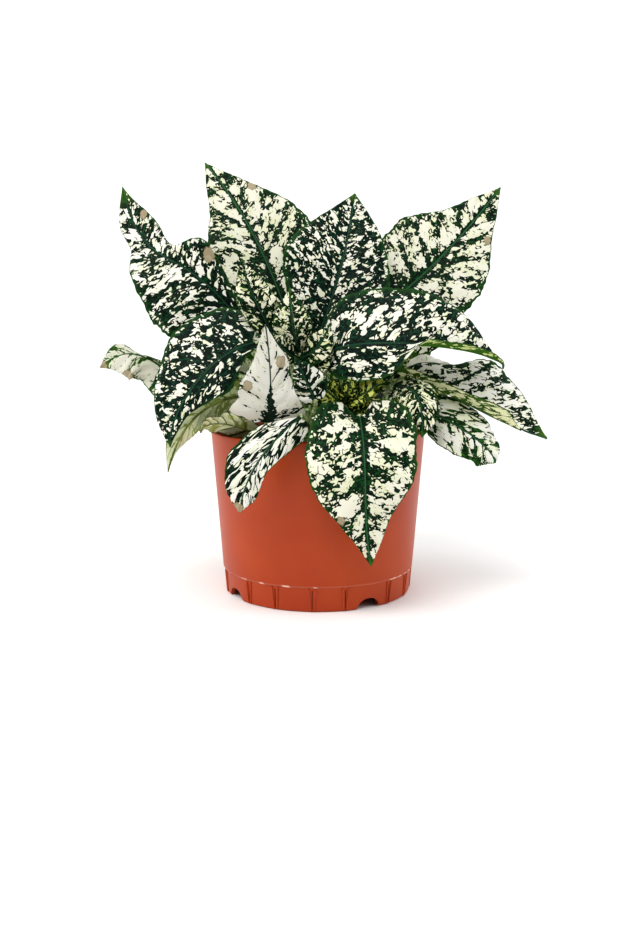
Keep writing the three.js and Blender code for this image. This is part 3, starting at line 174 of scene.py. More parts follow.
# Leaves. Two numbers in a pair are for the left and right half, as seen on the upper side with
# the tip up; one number alone is for both.
#   look   which of the leaf tissues it is made of
#   stem   the stem that bears it, and how far up
#   rib    points along the midrib, from the blade's base to its tip
#   face   where the upper side looks
#   wide   half widths at the belly, which lies this far along: belly
#   edge   in place of wide and belly: half widths of the left and of the right half, from the
#          base to the tip
#   fold   degrees by which each half rises off the midrib, and bend: by how many it curves on
#   close  degrees by which a half folds up further, between the two places in shut
#   lobe   how far the base's corners reach back
#   wave   height and count of the ripples along the edges
#   lean   degrees between the midrib and the way in which its white spots are drawn out
#   drawn  below 1 draws the spots of a half out further
#   spots  dry brown spots: a place along the midrib, one across it from -1 to 1, and a radius
LEAVES = {
    "leaf_upper_left": dict(
        look="dappled", stem=("left", 0.9),
        rib=((-36, -10, 130), (-62, -10, 156), (-81, -3, 168), (-95, 8, 197)),
        face=(-0.1, -0.9, 0.4), fold=(8, 18), wave=(3, 2.2),
        spots=((0.29, 0.82, 3), (0.85, 0.74, 2)),
        edge=((15.5, 25.5, 30.5, 30.5, 29, 23.5, 17, 8, 7), (2, 5, 9.5, 13.5, 15.5, 8, 8, 10, 8)),
    ),
    "leaf_upper_back": dict(
        look="splashed", stem=("middle", 0.8), rib=((-16, 7, 138), (-35, 20, 180), (-58, 36, 213)),
        face=(0, -0.95, 0.35), fold=8, spots=((0.7, 0.88, 2.4),),
        edge=((10.5, 18.5, 23.5, 26, 25, 20, 13, 7.5), (13.5, 22.5, 27.5, 29.5, 28.5, 24, 14, 6.5)),
    ),
    "leaf_upper_middle": dict(
        look="speckled", stem=("middle", 0.93), rib=((0, -8, 125), (11, -1, 159), (18, 10, 194)),
        face=(0.05, -0.95, 0.3), fold=(18, 14),
        edge=((7.5, 14, 20, 24.5, 28, 27, 21.5, 11), (8.5, 15.5, 21.5, 25, 25.5, 23, 17.5, 10)),
    ),
    "leaf_upper_right": dict(
        look="splashed", stem=("right", 0.95), rib=((41, 2, 146), (66, 12, 169), (92, 24, 199)),
        face=(0, -0.95, 0.4), fold=(8, 10), spots=((0.67, 0.82, 2),),
        edge=((14, 23.5, 28, 28.5, 28.5, 22.5, 15, 8), (13, 22.5, 27.5, 28, 26, 21, 13, 7)),
    ),
    "leaf_broad_right": dict(
        look="blotched", stem=("front", 0.8),
        rib=((5, -27, 117), (27, -40, 122), (64, -41, 119), (85, -28, 110)),
        face=(0.1, -0.82, 0.55), fold=(15, -15), bend=(-20, -30), close=(0, 110),
        shut=(0.36, 0.56), lobe=14, lean=(50, 15),
        edge=((5, 16.5, 26, 29, 28, 25, 17.5, 1.5), (0.5, 7.5, 15, 17.5, 15, 8, 5, 3)),
    ),
    "leaf_broad_left": dict(
        look="speckled", stem=("left", 0.84),
        rib=((-29, -32, 122), (-46, -46, 113), (-60, -52, 95), (-66, -46, 76)),
        face=(-0.15, -0.8, 0.55), fold=(-5, 15), bend=(-35, -18), drawn=(0.65, 1), lobe=(6, 12),
        lean=(10, 60),
        edge=((1, 4.5, 7, 11, 14, 10, 4.5, 3), (18, 24.5, 25, 25, 23.5, 19, 13.5, 7.5)),
    ),
    "leaf_front": dict(
        look="splashed", stem=("front", 0.6),
        rib=((18, -47, 90), (19, -71, 71), (20, -68, 48), (23, -60, 25)), face=(0, -0.95, 0.35),
        fold=26, close=-20, shut=(0.05, 0.4), bend=-25, lobe=15,
        spots=((0.67, 0.78, 1.8),),
        edge=((14, 20.5, 23, 22.5, 22, 17, 11, 6), (15, 20.5, 23, 25, 24, 20.5, 12, 5)),
    ),
    "leaf_front_left": dict(
        look="streaked", stem=("front_left", 0.9),
        rib=((-8, -49, 90), (-26, -68, 72), (-34, -65, 50)), face=(0.1, -0.95, 0.3), fold=(8, 0),
        bend=(-25, -30), lobe=2, lean=14, spots=((0.95, 0.38, 2.4),),
        edge=((6.5, 9, 8.5, 7.5, 6.5, 5.5, 6, 5.5), (1, 4.5, 8.5, 11, 12.5, 13.5, 11, 7.5)),
    ),
    "leaf_pale_upright": dict(
        look="blanched", stem=("front_left", 0.7),
        rib=((-23, -45, 87), (-21, -53, 105), (-23, -55, 130)), face=(0.05, -0.98, 0.15),
        fold=(12, 0), spots=((0.69, 0.56, 2.2), (0.48, -0.72, 2.1)),
        edge=((11.5, 17, 17, 14.5, 14.5, 12, 7.5, 4.5), (10.5, 15.5, 16, 13.5, 10.5, 9, 8.5, 4)),
        lobe=2,
    ),
    "leaf_pale_side": dict(
        look="whitened", stem=("front_left", 0.86),
        rib=((-2, -40, 97), (-6, -41, 106), (-11, -40, 116)), face=(0.2, -0.95, 0.1), wide=(7, 9),
        fold=12, belly=0.35, lobe=2,
    ),
    "leaf_right_small": dict(
        look="mottled", stem=("front_right", 0.7),
        rib=((34, -36, 102), (43, -48, 99), (45, -53, 81)), face=(0.1, -0.8, 0.6), fold=(5, -5), lean=35,
        bend=(-20, -30), edge=((1, 4.5, 8, 10, 9, 9, 9.5, 6.5), (5, 7.5, 8, 7.5, 8, 9, 8.5, 5)),
    ),
    "leaf_right_long": dict(
        look="whitened", stem=("front_right", 0.95),
        rib=((40, -22, 106), (58, -30, 100), (79, -33, 89), (106, -30, 78)), face=(0.1, -0.8, 0.6),
        fold=(15, 80), bend=(-20, 0), lean=28,
        edge=((5.5, 9.5, 12.5, 16, 23, 26, 23.5, 16), (8, 10, 8, 6.5, 8.5, 12.5, 11, 0.5)),
    ),
    "leaf_right_low": dict(
        look="edged", stem=("front_right", 0.6),
        rib=((48, -28, 92), (70, -40, 80), (80, -40, 68)), face=(0.15, -0.8, 0.55), fold=(12, -5),
        lean=22,
        edge=((8, 11.5, 13, 13.5, 11.5, 9.5, 8, 5.5), (3.5, 7.5, 11, 13, 12.5, 10.5, 9.5, 8.5)),
    ),
    "leaf_right_behind": dict(
        look="blanched", stem=("right", 0.6), rib=((40, -4, 104), (53, -5, 110), (68, -4, 109)),
        face=(0.1, -0.85, 0.5), wide=(7, 8), fold=(10, 0),
    ),
    "leaf_left_long": dict(
        look="faded", stem=("left", 0.62),
        rib=((-44, -4, 102), (-65, -10, 103), (-82, -15, 115), (-103, -18, 110)),
        face=(0.1, -0.9, 0.4), fold=(0, 5), wave=(1.6, 3),
        spots=((0.99, -0.1, 3), (0.85, -0.96, 3)),
        edge=((4.5, 9, 12.5, 15, 15.5, 13, 10.5, 12, 11.5), (2, 4, 6, 7.5, 7.5, 5, 1.5, 1, 6.5)),
    ),
    "leaf_left_behind": dict(
        look="speckled", stem=("left", 0.7), rib=((-46, -20, 108), (-64, -25, 110), (-79, -24, 100)),
        face=(-0.1, -0.8, 0.6), wide=9, fold=5,
    ),
    "leaf_left_under": dict(
        look="faded", stem=("left", 0.5), rib=((-36, -26, 98), (-57, -36, 88), (-69, -36, 63)),
        face=(-0.5, 0.8, 0.3), fold=15,
        edge=((6.5, 7.5, 7, 7.5, 7.5, 8, 7.5, 3.5), (5, 8, 9, 8.5, 7, 6.5, 6, 1.5)),
    ),
    "leaf_rim_left": dict(
        look="faded", stem=("left", 0.42), rib=((-30, -25, 81), (-45, -33, 86), (-54, -40, 83)),
        face=(0, 0.6, 0.8), fold=10,
        edge=((4, 5.5, 7, 8, 8.5, 8, 7.5, 7), (7, 9.5, 11, 12, 10.5, 8.5, 7, 7)),
    ),
    "leaf_back_high_left": dict(
        look="speckled", stem=("back_left", 0.95),
        rib=((-28, 42, 131), (-22, 55, 154), (-18, 60, 178)), face=(0, -0.95, 0.4), wide=(21, 17),
        fold=10,
    ),
    "leaf_back_high_right": dict(
        look="splashed", stem=("back_right", 0.95), rib=((30, 44, 131), (39, 56, 148), (48, 62, 166)),
        face=(0, -0.95, 0.4), wide=15, fold=10,
    ),
    "leaf_back_left": dict(
        look="splashed", stem=("back_left", 0.85),
        rib=((-38, 46, 112), (-50, 60, 119), (-64, 67, 98)), face=(-0.4, 0.7, 0.6), wide=19,
        fold=5,
    ),
    "leaf_back_right": dict(
        look="speckled", stem=("back_right", 0.85), rib=((35, 49, 112), (49, 61, 119), (62, 67, 98)),
        face=(0.4, 0.7, 0.6), wide=19, fold=5,
    ),
    "leaf_back_middle": dict(
        look="speckled", stem=("middle", 0.7), rib=((4, 28, 121), (5, 52, 136), (4, 72, 121)),
        face=(0, 0.75, 0.65), wide=16, fold=8,
    ),
    "leaf_back_low_middle": dict(
        look="splashed", stem=("back_right", 0.4), rib=((4, 44, 90), (0, 63, 88), (-3, 70, 62)),
        face=(0, 0.6, 0.8), wide=17, fold=5,
    ),
    "leaf_back_low_left": dict(
        look="speckled", stem=("back_left", 0.55), rib=((-32, 44, 90), (-43, 61, 86), (-48, 67, 60)),
        face=(-0.3, 0.6, 0.7), wide=18, fold=5,
    ),
    "leaf_back_low_right": dict(
        look="splashed", stem=("back_right", 0.6), rib=((28, 48, 92), (38, 64, 88), (44, 70, 62)),
        face=(0.3, 0.6, 0.7), wide=18, fold=5,
    ),
    "leaf_side_left": dict(
        look="splashed", stem=("back_left", 0.7), rib=((-41, 26, 102), (-60, 33, 106), (-77, 38, 84)),
        face=(-0.6, 0.1, 0.8), wide=17, fold=5,
    ),
    "leaf_side_right": dict(
        look="speckled", stem=("back_right", 0.7), rib=((32, 27, 97), (57, 37, 101), (73, 43, 80)),
        face=(0.6, 0.2, 0.8), wide=16, fold=5,
    ),
    "leaf_side_high_left": dict(
        look="speckled", stem=("left", 0.78), rib=((-44, 6, 110), (-60, 14, 117), (-76, 20, 97)),
        face=(-0.5, 0, 0.85), wide=15, fold=5,
    ),
    "leaf_side_high_right": dict(
        look="splashed", stem=("right", 0.85), rib=((48, 12, 120), (64, 18, 130), (80, 24, 119)),
        face=(0.5, 0, 0.85), wide=15, fold=5,
    ),
    "leaf_side_low_left": dict(
        look="speckled", stem=("back_left", 0.5), rib=((-44, 14, 90), (-58, 18, 91), (-69, 20, 80)),
        face=(-0.4, -0.1, 0.9), wide=13, fold=8,
    ),
    "leaf_side_low_right": dict(
        look="speckled", stem=("right", 0.45), rib=((48, 10, 92), (62, 12, 92), (74, 14, 79)),
        face=(0.4, -0.1, 0.9), wide=13, fold=8,
    ),
    "leaf_back_inner_left": dict(
        look="splashed", stem=("back_left", 0.6), rib=((-14, 44, 102), (-19, 62, 112), (-24, 74, 98)),
        face=(-0.1, 0.85, 0.5), wide=16, fold=5,
    ),
    "leaf_back_inner_right": dict(
        look="splashed", stem=("back_right", 0.55), rib=((13, 46, 102), (17, 64, 112), (22, 74, 96)),
        face=(0.1, 0.85, 0.5), wide=15, fold=5,
    ),
    "leaf_inner_left": dict(
        look="splashed", stem=("left", 0.66), rib=((-20, 6, 111), (-30, 13, 125), (-42, 20, 121)),
        face=(0, -0.2, 0.98), wide=13, fold=8,
    ),
    "leaf_inner_right": dict(
        look="speckled", stem=("middle", 0.5), rib=((12, 8, 110), (20, 15, 124), (30, 24, 120)),
        face=(0, -0.2, 0.98), wide=13, fold=8,
    ),
    "leaf_inner_front_left": dict(
        look="mottled", stem=("inner", 0.75), rib=((-13, -15, 113), (-15, -11, 125), (-17, -5, 137)),
        face=(0, -0.8, 0.6), wide=8, fold=8,
    ),
    "leaf_inner_front_right": dict(
        look="speckled", stem=("front", 0.95), rib=((20, -19, 106), (30, -12, 119), (41, -7, 126)),
        face=(0, -0.6, 0.8), wide=15, fold=8,
    ),
    "leaf_young_left": dict(
        look="mottled", stem=("left", 0.97), rib=((-21, -25, 126), (-30, -29, 144), (-35, -27, 160)),
        face=(0.1, -0.95, 0.1), wide=(8, 9), fold=(10, 15),
    ),
}


# Curves and surfaces of stems and leaves
def unit(a):
    return a / np.linalg.norm(a, axis=-1, keepdims=True)


def without(a, n):
    """The direction of a with what lies along n taken out."""
    return unit(a - n * (a * n).sum(-1, keepdims=True))


def through(points, t):
    """The smooth curve through a few evenly spaced points."""
    last = len(points) - 1
    place = np.zeros(t.shape + (3,))
    for i, point in enumerate(points):
        weight = np.ones(t.shape)
        for j in range(last + 1):
            if j != i:
                weight = weight * (t * last - j) / (i - j)
        place += weight[..., None] * np.array(point, float)
    return place


def heading(points, t):
    return unit(through(points, t + 0.01) - through(points, t - 0.01))


def stem_places(stem):
    (ax, ay), (bx, by), (cx, cy) = stem["way"]
    rise = stem["top"] - STEM_FOOT
    return ((ax, ay, STEM_FOOT), (ax, ay, STEM_FOOT + rise * 0.35),
            (bx, by, STEM_FOOT + rise * 0.68), (cx, cy, stem["top"]))


def stem_radius(stem, h):
    knuckle = np.cos(h * math.tau * KNUCKLES) ** 4
    return stem["thick"] * (1 - STEM_TAPER * h) * (1 + KNUCKLE_SWELL * knuckle)


def by_half(value, half):
    """The value for each half, from a pair or from one number for both."""
    return np.where(half == 0, *value) if isinstance(value, tuple) else value


def edge_width(widths, t):
    """Half width at t from measured ones, which lie closer together near the leaf's base."""
    knots = np.array((-widths[0], 0, *widths, 0, -widths[-1]), float)
    place = np.clip(t, 0, 1) ** EDGE_SPREAD * (len(widths) + 1)
    i = np.clip(np.floor(place).astype(int), 0, len(widths))
    f = place - i
    a, b, c, d = (knots[i + k] for k in range(4))
    return b + f * ((c - a) + f * ((2 * a - 5 * b + 4 * c - d) + f * (3 * (b - c) + d - a))) / 2


def leaf_half(leaf, t, half):
    """Half width at t along the midrib."""
    if "edge" in leaf:
        left, right = leaf["edge"]
        return np.maximum(np.where(half == 0, edge_width(left, t), edge_width(right, t)), 0)
    along = np.pi * t ** (math.log(0.5) / np.log(by_half(leaf.get("belly", 0.38), half)))
    return by_half(leaf["wide"], half) * np.maximum(np.sin(along), 0) ** (0.62 + 0.58 * t)


def leaf_point(leaf, t, v):
    """The blade's middle surface at t along the midrib and v across it, -1 and 1 at the edges."""
    axis = heading(leaf["rib"], t)
    normal = without(np.array(leaf["face"], float), axis)
    side = np.cross(axis, normal)
    half = (v > 0).astype(int)
    reach = np.abs(v)
    width = leaf_half(leaf, t, half)
    if "close" in leaf:
        start, end = leaf["shut"]
        step = np.clip((t - start) / (end - start), 0, 1)
        closed = by_half(leaf["close"], half) * step * step * (3 - 2 * step)
    else:
        closed = 0
    fold = np.radians(by_half(leaf["fold"], half) + closed)
    bend = np.radians(by_half(leaf.get("bend", -20), half))
    bend = np.where(bend == 0, 1e-4, bend)  # the sums below divide by it
    out = width * (np.sin(fold + bend * reach) - np.sin(fold)) / bend
    height, count = leaf.get("wave", (1.2, 2.5))
    phase = math.tau * (count * t + half * 0.4)
    ripple = height * reach ** 2 * np.sin(np.pi * t) * np.sin(phase)
    up = width * (np.cos(fold) - np.cos(fold + bend * reach)) / bend + ripple
    back = -by_half(leaf.get("lobe", 4), half) * reach ** 2 * (1 - t) ** 3
    return (through(leaf["rib"], t) + side * (np.sign(v) * out)[..., None]
            + normal * up[..., None] + axis * back[..., None])


def leaf_normal(leaf, t, v):
    step = 0.02
    along = leaf_point(leaf, t + step / 2, v) - leaf_point(leaf, t - step / 2, v)
    across = leaf_point(leaf, t, v + step) - leaf_point(leaf, t, v - step)
    return unit(np.cross(across, along))


class Loops:
    """A closed body from loops of points, with two vectors for each point that carry where it
    lies on the leaf, and a mark for each face on the under side."""

    def __init__(self, columns):
        self.columns = columns
        self.points, self.way, self.place, self.blade = [], [], [], []

    def add(self, upper, lower, way, place, blade=True):
        """One loop from its upper row and its lower row, which share their two end points."""
        back = slice(self.columns - 1, 0, -1)
        self.points.append(np.concatenate([upper, lower[back]]))
        self.way.append(np.concatenate([way, way[back]]))
        self.place.append(np.concatenate([place, place[back]]))
        self.blade.append(blade)

    def add_ring(self, points, way, place):
        """One closed loop that isn't part of the blade."""
        self.points.append(points)
        self.way.append(way)
        self.place.append(place)
        self.blade.append(False)

    def join(self, other):
        """The loops of another body, after its own."""
        self.points += other.points
        self.way += other.way
        self.place += other.place
        self.blade += other.blade

    def body(self, tip):
        """Vertices, faces, point vectors, under-side marks and margin edges, closed at both ends."""
        count, around = len(self.points), self.columns * 2
        points = np.concatenate(self.points + [self.points[0].mean(0)[None], tip[None]])
        way = np.concatenate(self.way + [self.way[0].mean(0)[None], self.way[-1].mean(0)[None]])
        place = np.concatenate(self.place + [self.place[0].mean(0)[None], [[1, 0, 2]]])
        first, last = count * around, count * around + 1
        row, column = np.meshgrid(np.arange(count - 1), np.arange(around), indexing="ij")
        following = (column + 1) % around
        faces = np.stack([row * around + column, row * around + following,
                          (row + 1) * around + following, (row + 1) * around + column], -1)
        faces = faces.reshape(-1, 4).tolist()
        under = (column >= self.columns).astype(float).ravel().tolist()
        for k in range(around):
            step = (k + 1) % around
            faces.append([step, k, first])
            faces.append([(count - 1) * around + k, (count - 1) * around + step, last])
            under += [float(k >= self.columns)] * 2
        margins = [(i * around + k, (i + 1) * around + k)
                   for i in range(count - 1) if self.blade[i] for k in (0, self.columns)]
        return points, faces, way, place, under, margins


def blade_rows(loops, leaf, start, end, rows, seed, pucker, stalk):
    """Adds the loops of a blade: puckered between its lateral veins, grooved along them and
    along the midrib, with the midrib standing out below."""
    columns = loops.columns
    t = start + (end - start) * (np.arange(rows + 1) / rows) ** BLADE_SPREAD
    t, v = np.meshgrid(t, np.linspace(-1, 1, columns + 1), indexing="ij")
    half, reach = (v > 0).astype(int), np.abs(v)
    notch = np.sin(t * 43 + seed * 5 + half * 2) + np.sin(t * 71 + seed * 9) + np.sin(t * 137 + half)
    v = v * (1 + RAGGED * notch * reach ** 6 * np.sqrt(np.clip(4 * t * (1 - t), 0, 1)))
    span = through(leaf["rib"], np.linspace(0, 1, 40))
    length = np.linalg.norm(np.diff(span, axis=0), axis=1).sum()
    width = leaf_half(leaf, t, half)
    from_rib = reach * width
    # a lateral vein leaves the midrib at its root and sweeps towards the tip
    root = t - 0.5 * reach * t ** 0.6 * (1 - t) ** 0.35
    phase = root * LATERAL_VEINS + half * 0.35 + seed * 0.37
    from_vein = np.abs(phase - np.round(phase)) * length / LATERAL_VEINS
    point, normal = leaf_point(leaf, t, v), leaf_normal(leaf, t, v)
    rise = pucker * (np.sin(np.pi * phase) ** 2 - 0.5) * np.sqrt(np.clip(4 * reach * (1 - reach), 0, 1))
    rise += 0.35 * pucker * np.sin(root * 61 + seed * 3) * np.sin(from_rib * 0.9 + seed * 7) * reach
    rise -= VEIN_GROOVE * np.exp(-(from_vein / VEIN_WIDTH) ** 2) * np.clip(from_rib / 2, 0, 1)
    groove = MIDRIB_GROOVE * np.exp(-(from_rib / MIDRIB_WIDTH) ** 2) * (1 - t)
    thick = BLADE / 2 * np.sqrt(1 - reach ** 8)
    ridge_radius = stalk * (1 - t) ** 0.7 + 0.12
    ridge = np.sqrt(np.clip(ridge_radius ** 2 - from_rib ** 2, 0, None))
    upper = point + normal * (rise - groove + thick)[..., None]
    lower = point + normal * (rise - thick - ridge * (reach < 1))[..., None]
    # flat places on the leaf, turned so that the first runs along the lateral veins
    lean = np.radians(by_half(leaf.get("lean", VEIN_LEAN), half))
    along = t * length * np.cos(lean) + from_rib * np.sin(lean)
    along = along * by_half(leaf.get("drawn", 1), half)
    across = t * length * np.sin(lean) - from_rib * np.cos(lean)
    way = np.stack([along + 37 * seed, across + 91 * seed + 300 * half, from_vein], -1)
    place = np.stack([t, reach, from_rib], -1)
    for i in range(rows + 1):
        loops.add(upper[i], lower[i], way[i], place[i])
    return leaf_point(leaf, np.array(1.0), np.array(0.0))


def stalk_loops(loops, leaf, seed):
    """Adds the loops of the stalk, from the stem's skin to the blade's base."""
    columns = loops.columns
    name, h = leaf["stem"]
    stem = STEMS[name]
    places, h = stem_places(stem), np.array(h)
    base = leaf_point(leaf, np.array(BLADE_START), np.array(0.0))
    axis = heading(leaf["rib"], np.array(0.0))
    core, stem_axis = through(places, h), heading(places, h)
    outward = without(base - core, stem_axis)
    start = core + outward * (stem_radius(stem, h) - PETIOLE_SUNK)
    reach = np.linalg.norm(base - start) * 0.4
    control = np.stack([start, start + outward * reach, base - axis * reach, base - axis * 0.25])
    t = np.linspace(0, 1, PETIOLE_ROWS)[:, None]
    points = (control[0] * (1 - t) ** 3 + control[1] * 3 * t * (1 - t) ** 2
              + control[2] * 3 * t * t * (1 - t) + control[3] * t ** 3)
    slopes = unit(np.gradient(points, axis=0))
    angle = np.pi * np.arange(columns + 1) / columns
    length = np.linalg.norm(np.diff(points, axis=0), axis=1).sum()
    for i in range(PETIOLE_ROWS):
        normal = without(np.array(leaf["face"], float), slopes[i])
        side = np.cross(slopes[i], normal)
        along = i / (PETIOLE_ROWS - 1)
        radius = PETIOLE * (0.9 + 0.35 * (1 - along) ** 6 + 0.12 * along ** 4)
        across = points[i] - side * (np.cos(angle) * radius)[:, None]
        lift = normal * (np.sin(angle) * radius)[:, None]
        # the stalk has a shallow channel on top
        channel = normal * (0.45 * radius * np.exp(-(np.cos(angle) / 0.35) ** 2))[:, None]
        way = np.stack([np.full(columns + 1, (along - 1) * length + 37 * seed),
                        -np.cos(angle) * radius + 91 * seed, np.full(columns + 1, 3.0)], -1)
        place = np.stack([np.full(columns + 1, (along - 1) * 0.3 - 0.02),
                          np.abs(np.cos(angle)) * 0.1, np.abs(np.cos(angle)) * radius], -1)
        loops.add(across + lift - channel, across - lift, way, place, blade=False)


def leaf_loops(leaf, rows, columns, seed):
    """A leaf with its stalk, which widens to the blade over a few loops."""
    loops, blade = Loops(columns), Loops(columns)
    stalk_loops(loops, leaf, seed)
    tip = blade_rows(blade, leaf, BLADE_START, BLADE_END, rows, seed, PUCKER, PETIOLE)
    end, end_place = loops.points[-1], loops.place[-1]
    for share in (0.1, 0.3, 0.6):
        loops.add_ring(end * (1 - share) + blade.points[0] * share, blade.way[0],
                       end_place * (1 - share) + blade.place[0] * share)
    loops.join(blade)
    return loops.body(tip)


def young_loops(leaf, rows, columns, seed):
    """A young leaf at a growing tip, rooted inside the stem."""
    shape = dict(fold=12, belly=0.45, wave=(0.3, 2), lobe=1) | leaf
    loops, blade = Loops(columns), Loops(columns)
    tip = blade_rows(blade, shape, YOUNG_START, BLADE_END, rows, seed, PUCKER / 2, YOUNG_STALK)
    axis = heading(shape["rib"], np.array(0.0))
    normal = without(np.array(shape["face"], float), axis)
    side = np.cross(axis, normal)
    angle = np.pi * np.arange(columns + 1) / columns
    root = leaf_point(shape, np.array(0.0), np.array(0.0)) - axis * YOUNG_SUNK
    across = root - side * (np.cos(angle) * YOUNG_FOOT)[:, None]
    lift = normal * (np.sin(angle) * YOUNG_FOOT)[:, None]
    ring = np.concatenate([across + lift, (across - lift)[columns - 1:0:-1]])
    loops.add_ring(ring, blade.way[0], blade.place[0])
    loops.join(blade)
    return loops.body(tip)


# Materials
def linear(code):
    """An sRGB hex colour as the linear colour that shaders take."""
    values = [int(code[i:i + 2], 16) / 255 for i in (0, 2, 4)]
    return (*(c / 12.92 if c <= 0.04045 else ((c + 0.055) / 1.055) ** 2.4 for c in values), 1)


def add(tree, kind, inputs=None, out=0, stops=(), **settings):
    """Adds a node with its settings, its inputs and the stops of its ramp, and gives one output.
    An input is a socket, a value or a hex colour, under its name or its number. Inputs 1 to 4 of
    a Map Range are the two ends that it reads and the two that it gives."""
    made = tree.nodes.new(kind)
    for key, value in settings.items():
        setattr(made, key, value)
    for key, value in (inputs or {}).items():
        if isinstance(value, bpy.types.NodeSocket):
            tree.links.new(value, made.inputs[key])
        else:
            made.inputs[key].default_value = linear(value) if isinstance(value, str) else value
    for i, (place, code) in enumerate(stops):
        elements = made.color_ramp.elements
        element = elements[i] if i < 2 else elements.new(place)
        element.position, element.color = place, linear(code)
    return made if out is None else made.outputs[out]


def layered(tree, colour, *layers):
    """Lays colours over one another, each as strongly as its own share says."""
    for share, over in layers:
        colour = add(tree, "ShaderNodeMix", {0: share, 6: colour, 7: over}, out=2,
                     data_type="RGBA")
    return colour


def new_material(name):
    """An empty procedural material and its tree."""
    material = bpy.data.materials.new(name)
    material.use_nodes = True
    tree = material.node_tree
    tree.nodes.clear()
    return material, tree


# How a leaf is marked. A look below says only what differs.
#   Share        how much of the leaf is white; 0.5 is about half
#   Patch        size of the patches, and Grain of the spots, in millimetres
#   Streak       below 1 draws the spots out along the lateral veins
#   Scatter      how freely single spots depart from their patch
#   Specks       share of the green that carries small specks
#   Midrib band  half width of the green along the midrib, in millimetres, and Midrib end the
#                share of it that is left near the tip
#   Vein band    the same along a lateral vein
#   Margin band  and Tip band: how strongly the margin and the tip stay green
USUAL_LOOK = {"Share": 0.5, "Patch": 8.0, "Grain": 1.2, "Streak": 0.6, "Scatter": 0.2,
              "Specks": 0.1, "Midrib band": 3.6, "Midrib end": 0.4, "Vein band": 1.8,
              "Margin band": 0.25, "Tip band": 0.35}


def green_bands(tree, value, loose, given, way, place):
    """Takes whiteness off along the midrib, the lateral veins and the margin, at the tip and at
    the base."""
    # the midrib, whose band narrows towards the tip
    narrow = add(tree, "ShaderNodeMapRange", {0: place[0], 1: 0.0, 2: 0.8, 3: 1.0,
                                              4: given["Midrib end"]})
    band = add(tree, "ShaderNodeMath", {0: given["Midrib band"], 1: narrow}, operation="MULTIPLY")
    band = add(tree, "ShaderNodeMath", {0: band, 1: 0.05}, operation="MAXIMUM")
    reach = add(tree, "ShaderNodeMath", {0: band, 1: 0.6}, operation="MULTIPLY")
    reach = add(tree, "ShaderNodeMath", {0: loose, 1: reach, 2: place[2]}, operation="MULTIPLY_ADD")
    near = add(tree, "ShaderNodeMapRange", {0: reach, 1: 0.0, 2: band, 3: 0.6, 4: 0.0})
    value = add(tree, "ShaderNodeMath", {0: value, 1: near}, operation="SUBTRACT")
    # the lateral veins, whose bands narrow towards the margin
    narrow = add(tree, "ShaderNodeMapRange", {0: place[1], 1: 0.0, 2: 1.0, 3: 1.3, 4: 0.4})
    band = add(tree, "ShaderNodeMath", {0: given["Vein band"], 1: narrow}, operation="MULTIPLY")
    reach = add(tree, "ShaderNodeMath", {0: loose, 1: 1.0, 2: way[2]}, operation="MULTIPLY_ADD")
    near = add(tree, "ShaderNodeMapRange", {0: reach, 1: 0.0, 2: band, 3: 0.22, 4: 0.0})
    value = add(tree, "ShaderNodeMath", {0: value, 1: near}, operation="SUBTRACT")
    # the margin, softly from far in and strongly at the very edge
    edge = add(tree, "ShaderNodeMapRange", {0: place[1], 1: 0.6, 2: 1.0, 3: 0.0, 4: 0.07})
    value = add(tree, "ShaderNodeMath", {0: value, 1: edge}, operation="SUBTRACT")
    edge = add(tree, "ShaderNodeMapRange", {0: place[1], 1: 0.955, 2: 0.985, 3: 0.0,
                                            4: given["Margin band"]})
    value = add(tree, "ShaderNodeMath", {0: value, 1: edge}, operation="SUBTRACT")
    # the tip and the base
    tip = add(tree, "ShaderNodeMapRange", {0: place[0], 1: 0.92, 2: 0.99, 3: 0.0,
                                           4: given["Tip band"]})
    value = add(tree, "ShaderNodeMath", {0: value, 1: tip}, operation="SUBTRACT")
    base = add(tree, "ShaderNodeMapRange", {0: place[0], 1: 0.0, 2: 0.3, 3: 0.05, 4: 0.0})
    value = add(tree, "ShaderNodeMath", {0: value, 1: base}, operation="SUBTRACT")
    return value


